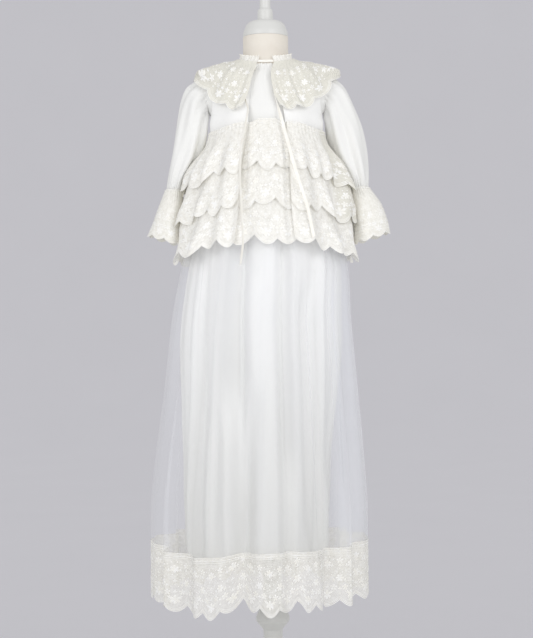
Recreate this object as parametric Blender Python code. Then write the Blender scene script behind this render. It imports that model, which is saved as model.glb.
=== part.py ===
"""A long christening gown and its short lace jacket, standing on a limbless dress form.

Metres, +Z up. The front faces -Y, and +X is to the right as the front is seen. The origin is the
middle of the stand's foot, on the floor.

Every cloth piece is a thin wall. Its outer face is a grid of points worked out from the sizes in
the tables below, and a Solidify modifier gives it its thickness, inwards. Angles named phi go
round the body from the front: 0 is the front, 90 is +X, 180 is the back.
"""

from math import acos, atan2, cos, degrees, pi, radians, sin, sqrt

import bmesh
import bpy
from mathutils import Vector

# ---------------------------------------------------------------- driving sizes

CLOTH_WALL = 0.0014  # lace and gathered organza
FIRM_WALL = 0.0012  # bodice panels, sleeves, neckband
RIBBON_WALL = 0.0010
SEAM_GAP = 0.0005  # between pieces that are sewn to each other
LAYER_GAP = 0.0004  # between layers that lie on each other

WAIST_Z = 1.067  # where the gown's bodice meets its skirt
SKIRT_HEM_Z = 0.3385  # where the skirt meets its lace
LACE_HEM_Z = 0.236  # the tips of the hem's scallops
HEM_SCALLOPS = 19
HEM_SCALLOP_DEPTH = 0.019
TIER_SCALLOPS = 13
TIER_SCALLOP_DEPTH = 0.013
JACKET_OPENING = 20.0  # half the front opening at the waist, degrees
GOWN_TIER_REACH = 24.0  # half the width of the gown's own tiers, degrees
COLLAR_LOBES = 16
CUFF_LOBES = 8
RIBBON_WIDTH = 0.006

# The shape that the cloth is draped on, from its underside to the top of its neck. The dress form
# stands a little inside it.
FORM_INSET = 0.0006
FORM_COLUMNS = ("z", "half_width", "half_depth")
FORM = (
    (0.835, 0.0840, 0.0630),
    (0.850, 0.0930, 0.0710),
    (0.890, 0.0960, 0.0760),
    (0.930, 0.0910, 0.0730),
    (0.980, 0.0850, 0.0700),
    (1.030, 0.0860, 0.0705),
    (1.079, 0.0900, 0.0715),
    (1.108, 0.0985, 0.0700),
    (1.130, 0.1060, 0.0660),
    (1.148, 0.1075, 0.0610),
    (1.160, 0.1010, 0.0560),
    (1.168, 0.0890, 0.0520),
    (1.174, 0.0760, 0.0495),
    (1.181, 0.0620, 0.0470),
    (1.186, 0.0530, 0.0450),
    (1.191, 0.0460, 0.0430),
    (1.198, 0.0425, 0.0417),
    (1.206, 0.0412, 0.0410),
    (1.236, 0.0412, 0.0410),
)

# The outermost reach of the gown's skirt: where its folds stand out furthest.
SKIRT_COLUMNS = ("z", "half_width", "half_depth", "centre_x", "fold_depth")
SKIRT = (
    (1.080, 0.0920, 0.0745, 0.000, 0.0004),
    (1.067, 0.0925, 0.0750, 0.000, 0.0004),
    (1.040, 0.0975, 0.0810, 0.000, 0.0020),
    (1.010, 0.1050, 0.0890, -0.001, 0.0040),
    (0.980, 0.1115, 0.0970, -0.002, 0.0055),
    (0.930, 0.1215, 0.1070, -0.004, 0.0075),
    (0.870, 0.1375, 0.1180, -0.004, 0.0100),
    (0.820, 0.1515, 0.1285, -0.006, 0.0130),
    (0.725, 0.1630, 0.1420, -0.013, 0.0190),
    (0.608, 0.1750, 0.1560, -0.015, 0.0240),
    (0.476, 0.1895, 0.1690, -0.019, 0.0300),
    (0.388, 0.1960, 0.1760, -0.021, 0.0340),
    (0.225, 0.1965, 0.1790, -0.022, 0.0400),
)

# The skirt's folds: each row is a valley that runs from waist to hem.
FOLD_COLUMNS = ("phi_top", "phi_hem", "half_width", "share")
SKIRT_FOLDS = (
    (-21.0, -9.0, 11.0, 0.85),
    (17.0, 17.0, 7.0, 0.45),
    (38.0, 43.0, 13.0, 0.80),
    (61.0, 65.0, 10.0, 0.60),
    (112.0, 113.0, 12.0, 0.90),
    (135.0, 135.0, 11.0, 0.75),
    (157.0, 156.0, 12.0, 1.00),
    (180.0, 178.0, 11.0, 0.70),
    (202.0, 201.0, 12.0, 0.85),
    (225.0, 224.0, 12.0, 0.95),
    (248.0, 247.0, 12.0, 0.80),
    (296.0, 291.0, 10.0, 0.60),
    (317.0, 313.0, 13.0, 0.85),
)

# The lace tiers. All are gathered into the waist; each hangs to front_z at the front and to side_z
# at the sides and back. top_out and out are how far a tier's outer face stands off the skirt.
TIER_COLUMNS = ("name", "top_out", "out", "front_z", "side_z", "phase")
JACKET_TIERS = (
    ("jacket_tier_3", 0.0076, 0.0076, 0.868, 0.838, 0.4),
    ("jacket_tier_2", 0.0094, 0.0106, 0.933, 0.900, 2.1),
    ("jacket_tier_1", 0.0112, 0.0136, 0.999, 0.962, 3.9),
)
GOWN_TIERS = (
    ("gown_tier_3", 0.0020, 0.0030, 0.866, 0.838, 0.9),
    ("gown_tier_2", 0.0038, 0.0052, 0.931, 0.900, 2.8),
    ("gown_tier_1", 0.0056, 0.0074, 0.997, 0.962, 4.4),
)
TIER_TOP_Z = 1.0743
# The rows that every tier shares while it reaches that low: (at the front, at the sides).
TIER_ROWS = ((1.047, 1.033), (1.014, 0.977), (0.948, 0.915), (0.884, 0.853))

# How far the jacket's outer face stands off the form: loose at the waist, close at the neck.
JACKET_COLUMNS = ("z", "out")
JACKET = (
    (1.075, 0.0080),
    (1.100, 0.0076),
    (1.130, 0.0062),
    (1.160, 0.0056),
    (1.200, 0.0050),
)

# How far the collar reaches, from its neck edge (share 0) to its outer edge (share 1).
COLLAR_COLUMNS = ("share", "front_y", "front_z", "side_x", "side_z", "back_y", "back_z")
COLLAR = (
    (0.00, 0.0500, 1.1790, 0.0490, 1.1945, 0.0500, 1.2000),
    (0.25, 0.0610, 1.1610, 0.0710, 1.1880, 0.0610, 1.1800),
    (0.50, 0.0700, 1.1410, 0.0930, 1.1790, 0.0690, 1.1580),
    (0.75, 0.0765, 1.1190, 0.1140, 1.1725, 0.0745, 1.1310),
    (1.00, 0.0815, 1.0950, 0.1330, 1.1620, 0.0790, 1.1080),
)

# The collar's two front edges, in degrees from the middle.
COLLAR_EDGE_COLUMNS = ("share", "right", "left")
COLLAR_EDGES = (
    (0.00, 13.5, 15.0),
    (0.35, 10.0, 26.0),
    (0.70, 12.5, 29.0),
    (1.00, 20.0, 33.0),
)

# A sleeve's rings, from the armhole to the gathered wrist: its outer and inner points as seen
# from the front, and its half depth. The second side_x is the left sleeve's.
SLEEVE_COLUMNS = ("outer_right_x", "outer_left_x", "outer_z", "inner_x", "inner_z", "half_depth", "centre_y")
SLEEVE = (
    (0.1300, 0.1300, 1.1580, 0.1045, 1.0930, 0.0375, 0.002),
    (0.1450, 0.1460, 1.1460, 0.1075, 1.0800, 0.0410, 0.004),
    (0.1600, 0.1575, 1.1190, 0.1095, 1.0640, 0.0425, 0.007),
    (0.1755, 0.1665, 1.0790, 0.1125, 1.0430, 0.0425, 0.010),
    (0.1835, 0.1740, 1.0350, 0.1240, 1.0110, 0.0400, 0.012),
    (0.1855, 0.1810, 0.9940, 0.1420, 0.9840, 0.0350, 0.013),
    (0.1840, 0.1840, 0.9640, 0.1520, 0.9630, 0.0260, 0.013),
)
ARMHOLE_Z = 1.1335
ARMHOLE_HALF_HEIGHT = 0.0325
ARMHOLE_HALF_DEPTH = 0.034

# The lace cuff's rings, from the wrist seam to the scallops.
CUFF_COLUMNS = ("outer_right_x", "outer_left_x", "outer_z", "inner_x", "inner_z", "half_depth")
CUFF = (
    (0.1845, 0.1845, 0.9630, 0.1520, 0.9620, 0.0265),
    (0.2060, 0.1970, 0.9330, 0.1530, 0.9250, 0.0350),
    (0.2165, 0.2085, 0.9020, 0.1540, 0.8900, 0.0420),
    (0.2205, 0.2180, 0.8810, 0.1545, 0.8610, 0.0460),
)
CUFF_CENTRE_Y = 0.013

# The ribbon's two tails, as they hang.
TAIL_COLUMNS = ("x", "z")
RIBBON_TAILS = {
    "ribbon_tail_left": (
        (-0.0110, 1.1765),
        (-0.0240, 1.1620),
        (-0.0350, 1.1450),
        (-0.0385, 1.1250),
        (-0.0360, 1.1100),
        (-0.0324, 1.0973),
        (-0.0382, 1.0642),
        (-0.0450, 1.0260),
        (-0.0472, 0.9916),
        (-0.0452, 0.9256),
        (-0.0429, 0.8660),
        (-0.0474, 0.8227),
    ),
    "ribbon_tail_right": (
        (0.0085, 1.1765),
        (0.0100, 1.1550),
        (0.0135, 1.1255),
        (0.0219, 1.0934),
        (0.0300, 1.0620),
        (0.0381, 1.0274),
        (0.0518, 0.9745),
        (0.0680, 0.9226),
        (0.0784, 0.8698),
    ),
}

# The stand: radius and height down each turned piece.
PROFILE_COLUMNS = ("radius", "z")
NECK_CAP = (
    (0.0000, 1.2662),
    (0.0160, 1.2662),
    (0.0275, 1.2640),
    (0.0340, 1.2590),
    (0.0375, 1.2510),
    (0.0400, 1.2440),
    (0.0405, 1.2363),
    (0.0000, 1.2363),
)
FINIAL = (
    (0.0000, 1.3260),
    (0.0060, 1.3245),
    (0.0095, 1.3190),
    (0.0097, 1.2890),
    (0.0132, 1.2850),
    (0.0138, 1.2760),
    (0.0138, 1.2665),
    (0.0000, 1.2665),
)
POLE = (
    (0.0000, 0.8346),
    (0.0170, 0.8346),
    (0.0170, 0.2240),
    (0.0195, 0.2150),
    (0.0250, 0.2060),
    (0.0298, 0.1960),
    (0.0300, 0.1880),
    (0.0230, 0.1790),
    (0.0174, 0.1720),
    (0.0170, 0.1500),
    (0.0200, 0.0430),
    (0.0200, 0.0323),
    (0.0000, 0.0323),
)
BASE = (
    (0.0000, 0.0320),
    (0.0380, 0.0320),
    (0.0480, 0.0270),
    (0.0900, 0.0200),
    (0.1380, 0.0160),
    (0.1500, 0.0120),
    (0.1500, 0.0000),
    (0.0000, 0.0000),
)

MATERIALS = {  # colour (linear), roughness
    "form_cover": ((0.80, 0.76, 0.70), 0.9),
    "stand_paint": ((0.86, 0.86, 0.84), 0.35),
    "silk_batiste": ((0.90, 0.90, 0.88), 0.7),
    "organza": ((0.88, 0.89, 0.91), 0.6),
    "embroidered_tulle": ((0.88, 0.87, 0.82), 0.7),
    "satin_ribbon": ((0.88, 0.84, 0.74), 0.4),
}


# ---------------------------------------------------------------- arithmetic


def ease(share):
    """Smoothly from 0 to 1, and flat past both ends."""
    share = min(1.0, max(0.0, share))
    return share * share * (3 - 2 * share)


def blend(a, b, share):
    return a + (b - a) * share


def read(table, columns, wanted, at, along="z"):
    """The value of one column where another column is `at`, on a smooth curve with no overshoot."""
    key, value = columns.index(along), columns.index(wanted)
    rows = sorted(table, key=lambda row: row[key])
    if at <= rows[0][key]:
        return rows[0][value]
    if at >= rows[-1][key]:
        return rows[-1][value]
    i = next(k for k in range(len(rows) - 1) if at <= rows[k + 1][key])

    def rise(k):
        return (rows[k + 1][value] - rows[k][value]) / (rows[k + 1][key] - rows[k][key])

    def slope(k):
        if k in (0, len(rows) - 1):
            return rise(0) if k == 0 else rise(k - 1)
        before, after = rise(k - 1), rise(k)
        return 0.0 if before * after <= 0 else 2 * before * after / (before + after)

    step = rows[i + 1][key] - rows[i][key]
    t = (at - rows[i][key]) / step
    return (
        (2 * t**3 - 3 * t**2 + 1) * rows[i][value]
        + (t**3 - 2 * t**2 + t) * step * slope(i)
        + (3 * t**2 - 2 * t**3) * rows[i + 1][value]
        + (t**3 - t**2) * step * slope(i + 1)
    )


def turn_between(a, b):
    """The angle from b to a, in degrees, the short way round."""
    return (a - b + 180) % 360 - 180


def scallop(share, lobes):
    """0 at the notch between two lobes and 1 at a lobe's tip."""
    return abs(sin(pi * lobes * share))


# ---------------------------------------------------------------- surfaces


def form_sizes(z):
    return (
        read(FORM, FORM_COLUMNS, "half_width", z),
        read(FORM, FORM_COLUMNS, "half_depth", z),
    )


def form_normal(x, y, z):
    """The outward direction of the form's surface through a point, and how far out the point is."""
    wide, deep = form_sizes(z)
    step = 0.0005
    wide_up, deep_up = form_sizes(z + step)
    wide_down, deep_down = form_sizes(z - step)
    reach = sqrt((x / wide) ** 2 + (y / deep) ** 2)
    steeper = (
        (x / wide) ** 2 / wide * (wide_up - wide_down) + (y / deep) ** 2 / deep * (deep_up - deep_down)
    ) / (2 * step)
    gradient = Vector((x / wide**2, y / deep**2, -steeper)) / reach
    return gradient.normalized(), (reach - 1) / gradient.length


def on_form(phi, z, out):
    """A point `out` from the form's surface."""
    wide, deep = form_sizes(z)
    x, y = wide * sin(radians(phi)), -deep * cos(radians(phi))
    normal, _ = form_normal(x, y, z)
    return Vector((x, y, z)) + normal * out


def clear_of_form(point, out):
    """The point moved straight out until it is `out` from the form."""
    for _ in range(4):
        normal, distance = form_normal(*point)
        if distance >= out:
            break
        point = point + normal * (out - distance)
    return point


def at_side(phi):
    """1 where the sleeves hang at the sides, and 0 at the front and back."""
    return max(0.0, 1 - ((abs(turn_between(phi, 0)) - 98) / 40) ** 2) ** 2


def on_skirt(phi, z, out):
    """A point `out` from the outermost reach of the skirt."""
    wide = read(SKIRT, SKIRT_COLUMNS, "half_width", z) + out
    deep = read(SKIRT, SKIRT_COLUMNS, "half_depth", z) + out
    centre = read(SKIRT, SKIRT_COLUMNS, "centre_x", z)
    return Vector((centre + wide * sin(radians(phi)), -deep * cos(radians(phi)), z))


def skirt_fold(phi, z):
    """How far the skirt lies inside its outermost reach."""
    down = ease((WAIST_Z - z) / (WAIST_Z - LACE_HEM_Z))
    deepest = 0.0
    for phi_top, phi_hem, half_width, share in SKIRT_FOLDS:
        off = abs(turn_between(phi, blend(phi_top, phi_hem, down))) / half_width
        if off < 1:
            deepest = max(deepest, share * cos(pi / 2 * off) ** 2)
    return deepest * read(SKIRT, SKIRT_COLUMNS, "fold_depth", z)


def hem_drop(phi):
    """How much lower than at the sides the hem hangs: most to the left of the front."""
    left = max(0.0, cos(radians(phi + 42))) ** 6
    right = max(0.0, cos(radians(phi - 50))) ** 6
    return 0.013 * left + 0.004 * right


def neck_z(phi):
    """The lower edge of the neckband: low at the front and high at the back."""
    towards_front = cos(radians(phi))
    return 1.191 - (0.0135 if towards_front > 0 else 0.006) * towards_front


# ---------------------------------------------------------------- making solids


def finished(name, mesh, material):
    """An object for the mesh, in the scene, in its material and with smooth faces."""
    finish = bpy.data.materials.get(material)
    if finish is None:
        colour, roughness = MATERIALS[material]
        finish = bpy.data.materials.new(material)
        finish.use_nodes = True
        shader = finish.node_tree.nodes["Principled BSDF"]
        shader.inputs["Base Color"].default_value = (*colour, 1)
        shader.inputs["Roughness"].default_value = roughness
        shader.inputs["Metallic"].default_value = 0.0
    mesh.materials.append(finish)
    mesh.shade_smooth()
    mesh.set_sharp_from_angle(angle=radians(50))
    piece = bpy.data.objects.new(name, mesh)
    bpy.context.scene.collection.objects.link(piece)
    return piece


def cloth(name, material, grid, wall, closed=False, flip=False):
    """A wall of cloth. grid is rows of points down the outer face, each going round the body."""
    bm = bmesh.new()
    rows = [[bm.verts.new(point) for point in row] for row in grid]
    across = len(rows[0])
    for upper, lower in zip(rows, rows[1:]):
        for i in range(across if closed else across - 1):
            j = (i + 1) % across
            corners = [upper[i], lower[i], lower[j], upper[j]]
            bm.faces.new(corners[::-1] if flip else corners)
    mesh = bpy.data.meshes.new(name)
    bm.to_mesh(mesh)
    bm.free()
    piece = finished(name, mesh, material)
    thicken = piece.modifiers.new("wall", "SOLIDIFY")
    thicken.thickness = wall
    thicken.offset = -1
    return piece


def spaced(first, last, count):
    """count + 1 values from first to last."""
    return [blend(first, last, i / count) for i in range(count + 1)]


def turned(name, material, profile, sides=24):
    """A turned piece, spun round Z from its profile, top to bottom on its outer side."""
    bm = bmesh.new()
    points = [bm.verts.new((radius, 0, z)) for radius, z in profile]
    edges = [bm.edges.new(pair) for pair in zip(points, points[1:])]
    bmesh.ops.spin(
        bm,
        geom=points + edges,
        cent=(0, 0, 0),
        axis=(0, 0, 1),
        angle=2 * pi,
        steps=sides,
        use_merge=True,
    )
    bmesh.ops.remove_doubles(bm, verts=bm.verts, dist=1e-6)
    bmesh.ops.recalc_face_normals(bm, faces=bm.faces)
    mesh = bpy.data.meshes.new(name)
    bm.to_mesh(mesh)
    bm.free()
    return finished(name, mesh, material)


# ---------------------------------------------------------------- the dress form


def dress_form():
    """The padded, covered torso and neck: rings up the body, closed flat at both ends."""
    sides = 20
    levels = [row[0] for row in FORM]
    bm = bmesh.new()
    rings = [
        [bm.verts.new(on_form(360 * i / sides, z, -FORM_INSET)) for i in range(sides)]
        for z in levels
    ]
    for lower, upper in zip(rings, rings[1:]):
        for i in range(sides):
            j = (i + 1) % sides
            bm.faces.new((lower[i], lower[j], upper[j], upper[i]))
    bm.faces.new(rings[0][::-1])
    bm.faces.new(rings[-1])
    mesh = bpy.data.meshes.new("form_torso")
    bm.to_mesh(mesh)
    bm.free()
    finished("form_torso", mesh, "form_cover")
    turned("form_neck_cap", "stand_paint", NECK_CAP)
    turned("stand_finial", "stand_paint", FINIAL, sides=16)
    turned("stand_pole", "stand_paint", POLE, sides=20)
    turned("stand_base", "stand_paint", BASE, sides=32)


# ---------------------------------------------------------------- the gown


def armhole_phi(z, deep):
    """Where the armhole's edge lies at this height, in degrees from the front; 90 past its ends."""
    level = (z - ARMHOLE_Z) / ARMHOLE_HALF_HEIGHT
    if abs(level) >= 1:
        return 90.0
    return degrees(acos(min(1.0, ARMHOLE_HALF_DEPTH * sqrt(1 - level * level) / deep)))


# Heights of a bodice panel's rows at its side, close together round the armhole.
BODICE_ROWS = (1.0675, 1.085, 1.101, 1.106, 1.119, 1.1335, 1.148, 1.161, 1.166, 1.178, 1.1905)


def bodice_panel(name, edges, columns, out_at, wall, foot_z, turn_back):
    """A front or a back. Each row runs from edges(share)[0] to edges(share)[1], in degrees from
    the middle; an edge of None is the side seam and the armhole. The top is the shoulder seam
    and the neck. A back is a front turned half round."""
    bottom, top = BODICE_ROWS[0], BODICE_ROWS[-1]
    grid = []
    for row_z in reversed(BODICE_ROWS):
        share = (row_z - bottom) / (top - bottom)
        side_z = blend(foot_z, top, share)
        out = out_at(side_z)
        seam = armhole_phi(side_z, form_sizes(side_z)[1] + out) - 0.25
        first, last = edges(share)
        first = -seam if first is None else first
        last = seam if last is None else last
        row = []
        for k in columns:
            phi = blend(first, last, k)
            if turn_back:
                phi = 180 - phi
            row.append(on_form(phi, blend(foot_z, neck_z(phi) - SEAM_GAP, share), out))
        grid.append(row)
    return cloth(name, "silk_batiste", grid, wall, flip=turn_back)


def side_to_side(share):
    return None, None


def gown_bodice():
    """The plain front and back under the jacket; the front shows in the jacket's opening."""
    for name, turn_back in (("gown_front", False), ("gown_back", True)):
        bodice_panel(
            name,
            side_to_side,
            spaced(0, 1, 11),
            lambda z: blend(0.0030, 0.0016, ease((z - 1.14) / 0.05)),
            0.0010,
            WAIST_Z + SEAM_GAP,
            turn_back,
        )


def gown_skirt():
    """Two full panels, seamed at the sides, in deep folds that open towards the hem."""
    levels = (WAIST_Z, 1.038, 0.978, 0.870, 0.720, 0.530, SKIRT_HEM_Z + SEAM_GAP)
    hem_z = levels[-1]
    seam = 0.12
    for name, first in (("gown_skirt_front", -90), ("gown_skirt_back", 90)):
        grid = []
        for level in levels:
            row = []
            for phi in spaced(first + seam, first + 180 - seam, 38):
                z = level - hem_drop(phi) * (WAIST_Z - level) / (WAIST_Z - hem_z)
                row.append(on_skirt(phi, z, -skirt_fold(phi, z)))
            grid.append(row)
        cloth(name, "organza", grid, CLOTH_WALL)


def skirt_lining():
    """The plainer underskirt that shows through the organza; it hangs inside the folds."""
    levels = (1.045, 1.000, 0.900, 0.720, 0.520, 0.345)
    columns = 28
    grid = []
    for z in levels:
        inside = CLOTH_WALL + LAYER_GAP + 0.0035 * ease((1.045 - z) / 0.05)
        row = []
        for i in range(columns):
            phi = 360 * i / columns
            wave = 0.5 - 0.5 * cos(radians(7 * phi))
            depth = read(SKIRT, SKIRT_COLUMNS, "fold_depth", z)
            row.append(on_skirt(phi, z, -inside - depth * (1.0 + 0.15 * wave)))
        grid.append(row)
    cloth("gown_skirt_lining", "silk_batiste", grid, FIRM_WALL, closed=True)


def hem_lace():
    """The wide scalloped lace, one strip joined round, that carries on the skirt's folds."""
    columns = HEM_SCALLOPS * 4
    grid = []
    for share in (0.0, 0.5, 1.0):
        row = []
        for i in range(columns):
            phi = 360 * i / columns
            tip = LACE_HEM_Z + HEM_SCALLOP_DEPTH * (1 - scallop(i / columns, HEM_SCALLOPS))
            z = blend(SKIRT_HEM_Z - SEAM_GAP, tip, share) - hem_drop(phi)
            row.append(on_skirt(phi, z, -skirt_fold(phi, z)))
        grid.append(row)
    cloth("gown_hem_lace", "embroidered_tulle", grid, CLOTH_WALL, closed=True)


# ---------------------------------------------------------------- lace tiers


def ruffle(phi):
    """The gathers that the jacket's tiers share, from 0 in a valley to 1 on a ridge. The front
    edges stand on ridges, over the gown's tiers, and the sleeves press the sides flat."""
    turn = radians(phi)
    gathers = 0.5 + 0.3 * cos(8 * turn + 1.1) + 0.2 * cos(13 * turn + 0.4)
    edge = ease((37 - abs(turn_between(phi, 0))) / 10)
    return blend(gathers, 1.0, edge) * (1 - 0.8 * at_side(phi))


def inner_ruffle(phi):
    """The gown's own tiers: gathered in the opening, flat where they run under the jacket."""
    return (0.5 + 0.5 * cos(radians(15 * phi) + 0.6)) * ease((18 - abs(phi)) / 8)


def by_side(phi, front, side):
    """From the front's value to the side's, which holds round the back."""
    round_side = sin(radians(phi)) ** 2 if cos(radians(phi)) > 0 else 1.0
    return blend(front, side, round_side)


def tier(tiers, number, phis, scallops, gathers, depth, top):
    """tiers runs from the lowest to the one on top of it all; scallops(phi) is 0 at a notch."""
    name, top_out, out, front_z, side_z, phase = tiers[number]
    above = tiers[number + 1][3:5] if number + 1 < len(tiers) else (1.060, 1.060)
    rows = len(TIER_ROWS) - number
    grid = [[] for _ in range(rows + 2)]
    for phi in phis:
        hem = by_side(phi, front_z, side_z) - TIER_SCALLOP_DEPTH * (scallops(phi) - 0.5)
        levels = [by_side(phi, *pair) for pair in TIER_ROWS[:rows]]
        free_z = by_side(phi, *above) - TIER_SCALLOP_DEPTH / 2
        for line, z in zip(grid, [top(phi), *levels, hem]):
            grown = ease((TIER_TOP_Z - z) / 0.09)
            free = ease((free_z - z) / 0.05) * (0.5 + 0.5 * cos(radians(7 * phi) + phase))
            wave = depth * grown * gathers(phi) + 0.0035 * free * (1 - 0.7 * at_side(phi))
            line.append(on_skirt(phi, z, blend(top_out, out, grown) + wave))
    cloth(name, "embroidered_tulle", grid, CLOTH_WALL)


def lace_tiers():
    """Three gathered tiers round the jacket, and three short ones in its opening."""
    first, last = JACKET_OPENING, 360 - JACKET_OPENING
    for number in range(len(JACKET_TIERS)):
        tier(
            JACKET_TIERS,
            number,
            spaced(first, last, TIER_SCALLOPS * 4),
            lambda phi: scallop((phi - first) / (last - first), TIER_SCALLOPS),
            ruffle,
            0.0095,
            lambda phi: TIER_TOP_Z,
        )
    for number in range(len(GOWN_TIERS)):
        tier(
            GOWN_TIERS,
            number,
            spaced(-GOWN_TIER_REACH, GOWN_TIER_REACH, 6),
            lambda phi: scallop((phi + 16) / 32, 1),
            inner_ruffle,
            0.0045,
            lambda phi: TIER_TOP_Z - 0.0008 + 0.0065 * ease((17 - abs(phi)) / 9),
        )


# ---------------------------------------------------------------- the jacket


def jacket_out(z):
    return read(JACKET, JACKET_COLUMNS, "out", z)


def jacket_body():
    """Two fronts that leave the middle open, and a back."""
    foot_z = TIER_TOP_Z + 0.0012

    def left_edge(share):
        return None, -blend(19.5, 14.0, ease(share * 1.3))

    def right_edge(share):
        return blend(19.5, 13.0, ease(share * 1.8)), None

    from_edge = (0.0, 0.1, 0.22, 0.34, 0.46, 0.58, 0.70, 0.82, 0.92, 1.0)
    from_seam = [1 - k for k in reversed(from_edge)]
    for name, edges, columns, turn_back in (
        ("jacket_front_left", left_edge, from_seam, False),
        ("jacket_front_right", right_edge, from_edge, False),
        ("jacket_back", side_to_side, spaced(0, 1, 14), True),
    ):
        bodice_panel(name, edges, columns, jacket_out, FIRM_WALL, foot_z, turn_back)


def neckband():
    """The ribbon's casing, gathered small, open at the front where the ribbon shows."""
    first, last, columns = 13.5, 346.5, 48
    grid = []
    for lift in (0.0135, 0.0):
        row = []
        for i, phi in enumerate(spaced(first, last, columns)):
            gather = 0.0006 * cos(2 * pi * i / 3)
            row.append(on_form(phi, neck_z(phi) + lift, 0.0041 + gather))
        grid.append(row)
    cloth("jacket_neckband", "embroidered_tulle", grid, FIRM_WALL)


def collar():
    """One wide gathered lace, from front edge to front edge, that falls over the shoulders."""
    columns = COLLAR_LOBES * 4
    grid = []
    for share in (0.0, 0.25, 0.5, 0.75, 1.0):
        first = read(COLLAR_EDGES, COLLAR_EDGE_COLUMNS, "right", share, "share")
        last = 360 - read(COLLAR_EDGES, COLLAR_EDGE_COLUMNS, "left", share, "share")
        row = []
        for i in range(columns + 1):
            along = i / columns
            phi = blend(first, last, along)
            turn = radians(phi)
            lobe = scallop(along, COLLAR_LOBES)
            reach = share * (1 - 0.10 * (1 - lobe) * share)
            values = {
                c: read(COLLAR, COLLAR_COLUMNS, c, reach, "share") for c in COLLAR_COLUMNS[1:]
            }
            end = "front" if cos(turn) > 0 else "back"
            ahead = 1 - sin(turn) ** 8
            deep, wide = values[end + "_y"], values["side_x"]
            radius = 1 / sqrt((sin(turn) / wide) ** 2 + (cos(turn) / deep) ** 2)
            z = blend(values["side_z"], values[end + "_z"], ahead)
            flute = 0.5 + 0.5 * cos(2 * pi * (COLLAR_LOBES * along * 0.75 + 0.15))
            wave = 0.0042 * share * flute
            out = blend(0.0078, 0.0112, ease(share * 3)) + wave
            point = clear_of_form(Vector((radius * sin(turn), -radius * cos(turn), z)), out)
            if share == 0:
                point = on_form(phi, neck_z(phi) + 0.003, 0.0078)
            row.append(point)
        grid.append(row)
    cloth("jacket_collar", "embroidered_tulle", grid, CLOTH_WALL)


def ring(outer, inner, half_depth, centre_y, side, swell):
    """A sleeve's ring between its outer and inner points; swell(angle) adds to its radius."""
    outer, inner = Vector(outer), Vector(inner)
    middle, arm = (outer + inner) / 2, (outer - inner) / 2
    points = []
    columns = 24
    for i in range(columns):
        angle = 2 * pi * i / columns
        grow = 1 + swell(angle) / max(arm.length, half_depth)
        flat = middle + arm * cos(angle) * grow
        y = centre_y + half_depth * sin(angle) * grow
        points.append(Vector((side * flat.x, y, flat.y)))
    return points


def armhole_ring(side, out):
    """The sleeve's first ring, just outside the armhole's edge."""
    points = []
    columns = 24
    for i in range(columns):
        angle = 2 * pi * i / columns
        z = ARMHOLE_Z + ARMHOLE_HALF_HEIGHT * cos(angle)
        y = ARMHOLE_HALF_DEPTH * sin(angle)
        wide, deep = form_sizes(z)
        guess = Vector((wide * sqrt(max(0.05, 1 - (y / deep) ** 2)), y, z))
        for _ in range(6):
            normal, distance = form_normal(*guess)
            guess.x += (out - distance) / max(0.3, normal.x)
        points.append(Vector((side * guess.x, y, z)))
    return points


def sleeves():
    """Full three-quarter sleeves, gathered into the armhole and into the wrist."""
    for name, side, outer in (("sleeve_right", 1, "outer_right_x"), ("sleeve_left", -1, "outer_left_x")):
        grid = [armhole_ring(side, 0.0094)]
        for k, row in enumerate(SLEEVE):
            row = dict(zip(SLEEVE_COLUMNS, row))
            gathers = (0.0012, 0.0016, 0.0016, 0.0020, 0.0022, 0.0018, 0.0008)[k]
            grid.append(
                ring(
                    (row[outer], row["outer_z"]),
                    (row["inner_x"], row["inner_z"]),
                    row["half_depth"],
                    row["centre_y"],
                    side,
                    lambda angle, g=gathers: g * (cos(6 * angle + 0.6 * side) - 1),
                )
            )
        cloth(name, "silk_batiste", grid, FIRM_WALL, closed=True, flip=side > 0)


def cuffs():
    """A lace flounce on each wrist, gathered at the seam and scalloped below."""
    columns = CUFF_LOBES * 4
    for name, side, outer in (("cuff_right", 1, "outer_right_x"), ("cuff_left", -1, "outer_left_x")):
        grid = []
        for k, row in enumerate(CUFF):
            row = dict(zip(CUFF_COLUMNS, row))
            share = k / (len(CUFF) - 1)
            points = []
            for i in range(columns):
                angle = 2 * pi * i / columns
                wave = 0.0030 * share * (cos(4 * angle + 0.9) - 1)
                middle_x = (row[outer] + row["inner_x"]) / 2
                middle_z = (row["outer_z"] + row["inner_z"]) / 2
                arm_x = (row[outer] - row["inner_x"]) / 2
                arm_z = (row["outer_z"] - row["inner_z"]) / 2
                grow = 1 + wave / row["half_depth"]
                rise = 0.008 * share * (1 - scallop(i / columns, CUFF_LOBES))
                points.append(
                    Vector(
                        (
                            side * (middle_x + arm_x * cos(angle) * grow),
                            CUFF_CENTRE_Y + row["half_depth"] * sin(angle) * grow,
                            middle_z + arm_z * cos(angle) + rise - SEAM_GAP,
                        )
                    )
                )
            grid.append(points)
        cloth(name, "embroidered_tulle", grid, CLOTH_WALL, closed=True, flip=side > 0)


# ---------------------------------------------------------------- the ribbon


def in_front(x, z):
    """Where the ribbon lies at this place: on the bodice, then on the tiers' ridges."""
    reach = blend(0.0140, 0.0278, ease((1.077 - z) / 0.080)) - 0.0040 * ease((0.97 - z) / 0.10)
    over_tiers = on_skirt(0, z, reach)
    wide = read(SKIRT, SKIRT_COLUMNS, "half_width", z) + reach
    tier_y = over_tiers.y * sqrt(1 - ((x - over_tiers.x) / wide) ** 2)
    form_wide, form_deep = form_sizes(z)
    form_y = -form_deep * sqrt(1 - (x / form_wide) ** 2)
    normal, _ = form_normal(x, form_y, z)
    bodice_y = form_y + (jacket_out(z) + 0.0016) / min(-0.35, normal.y)
    return blend(bodice_y, tier_y, ease((1.098 - z) / 0.020))


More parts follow.
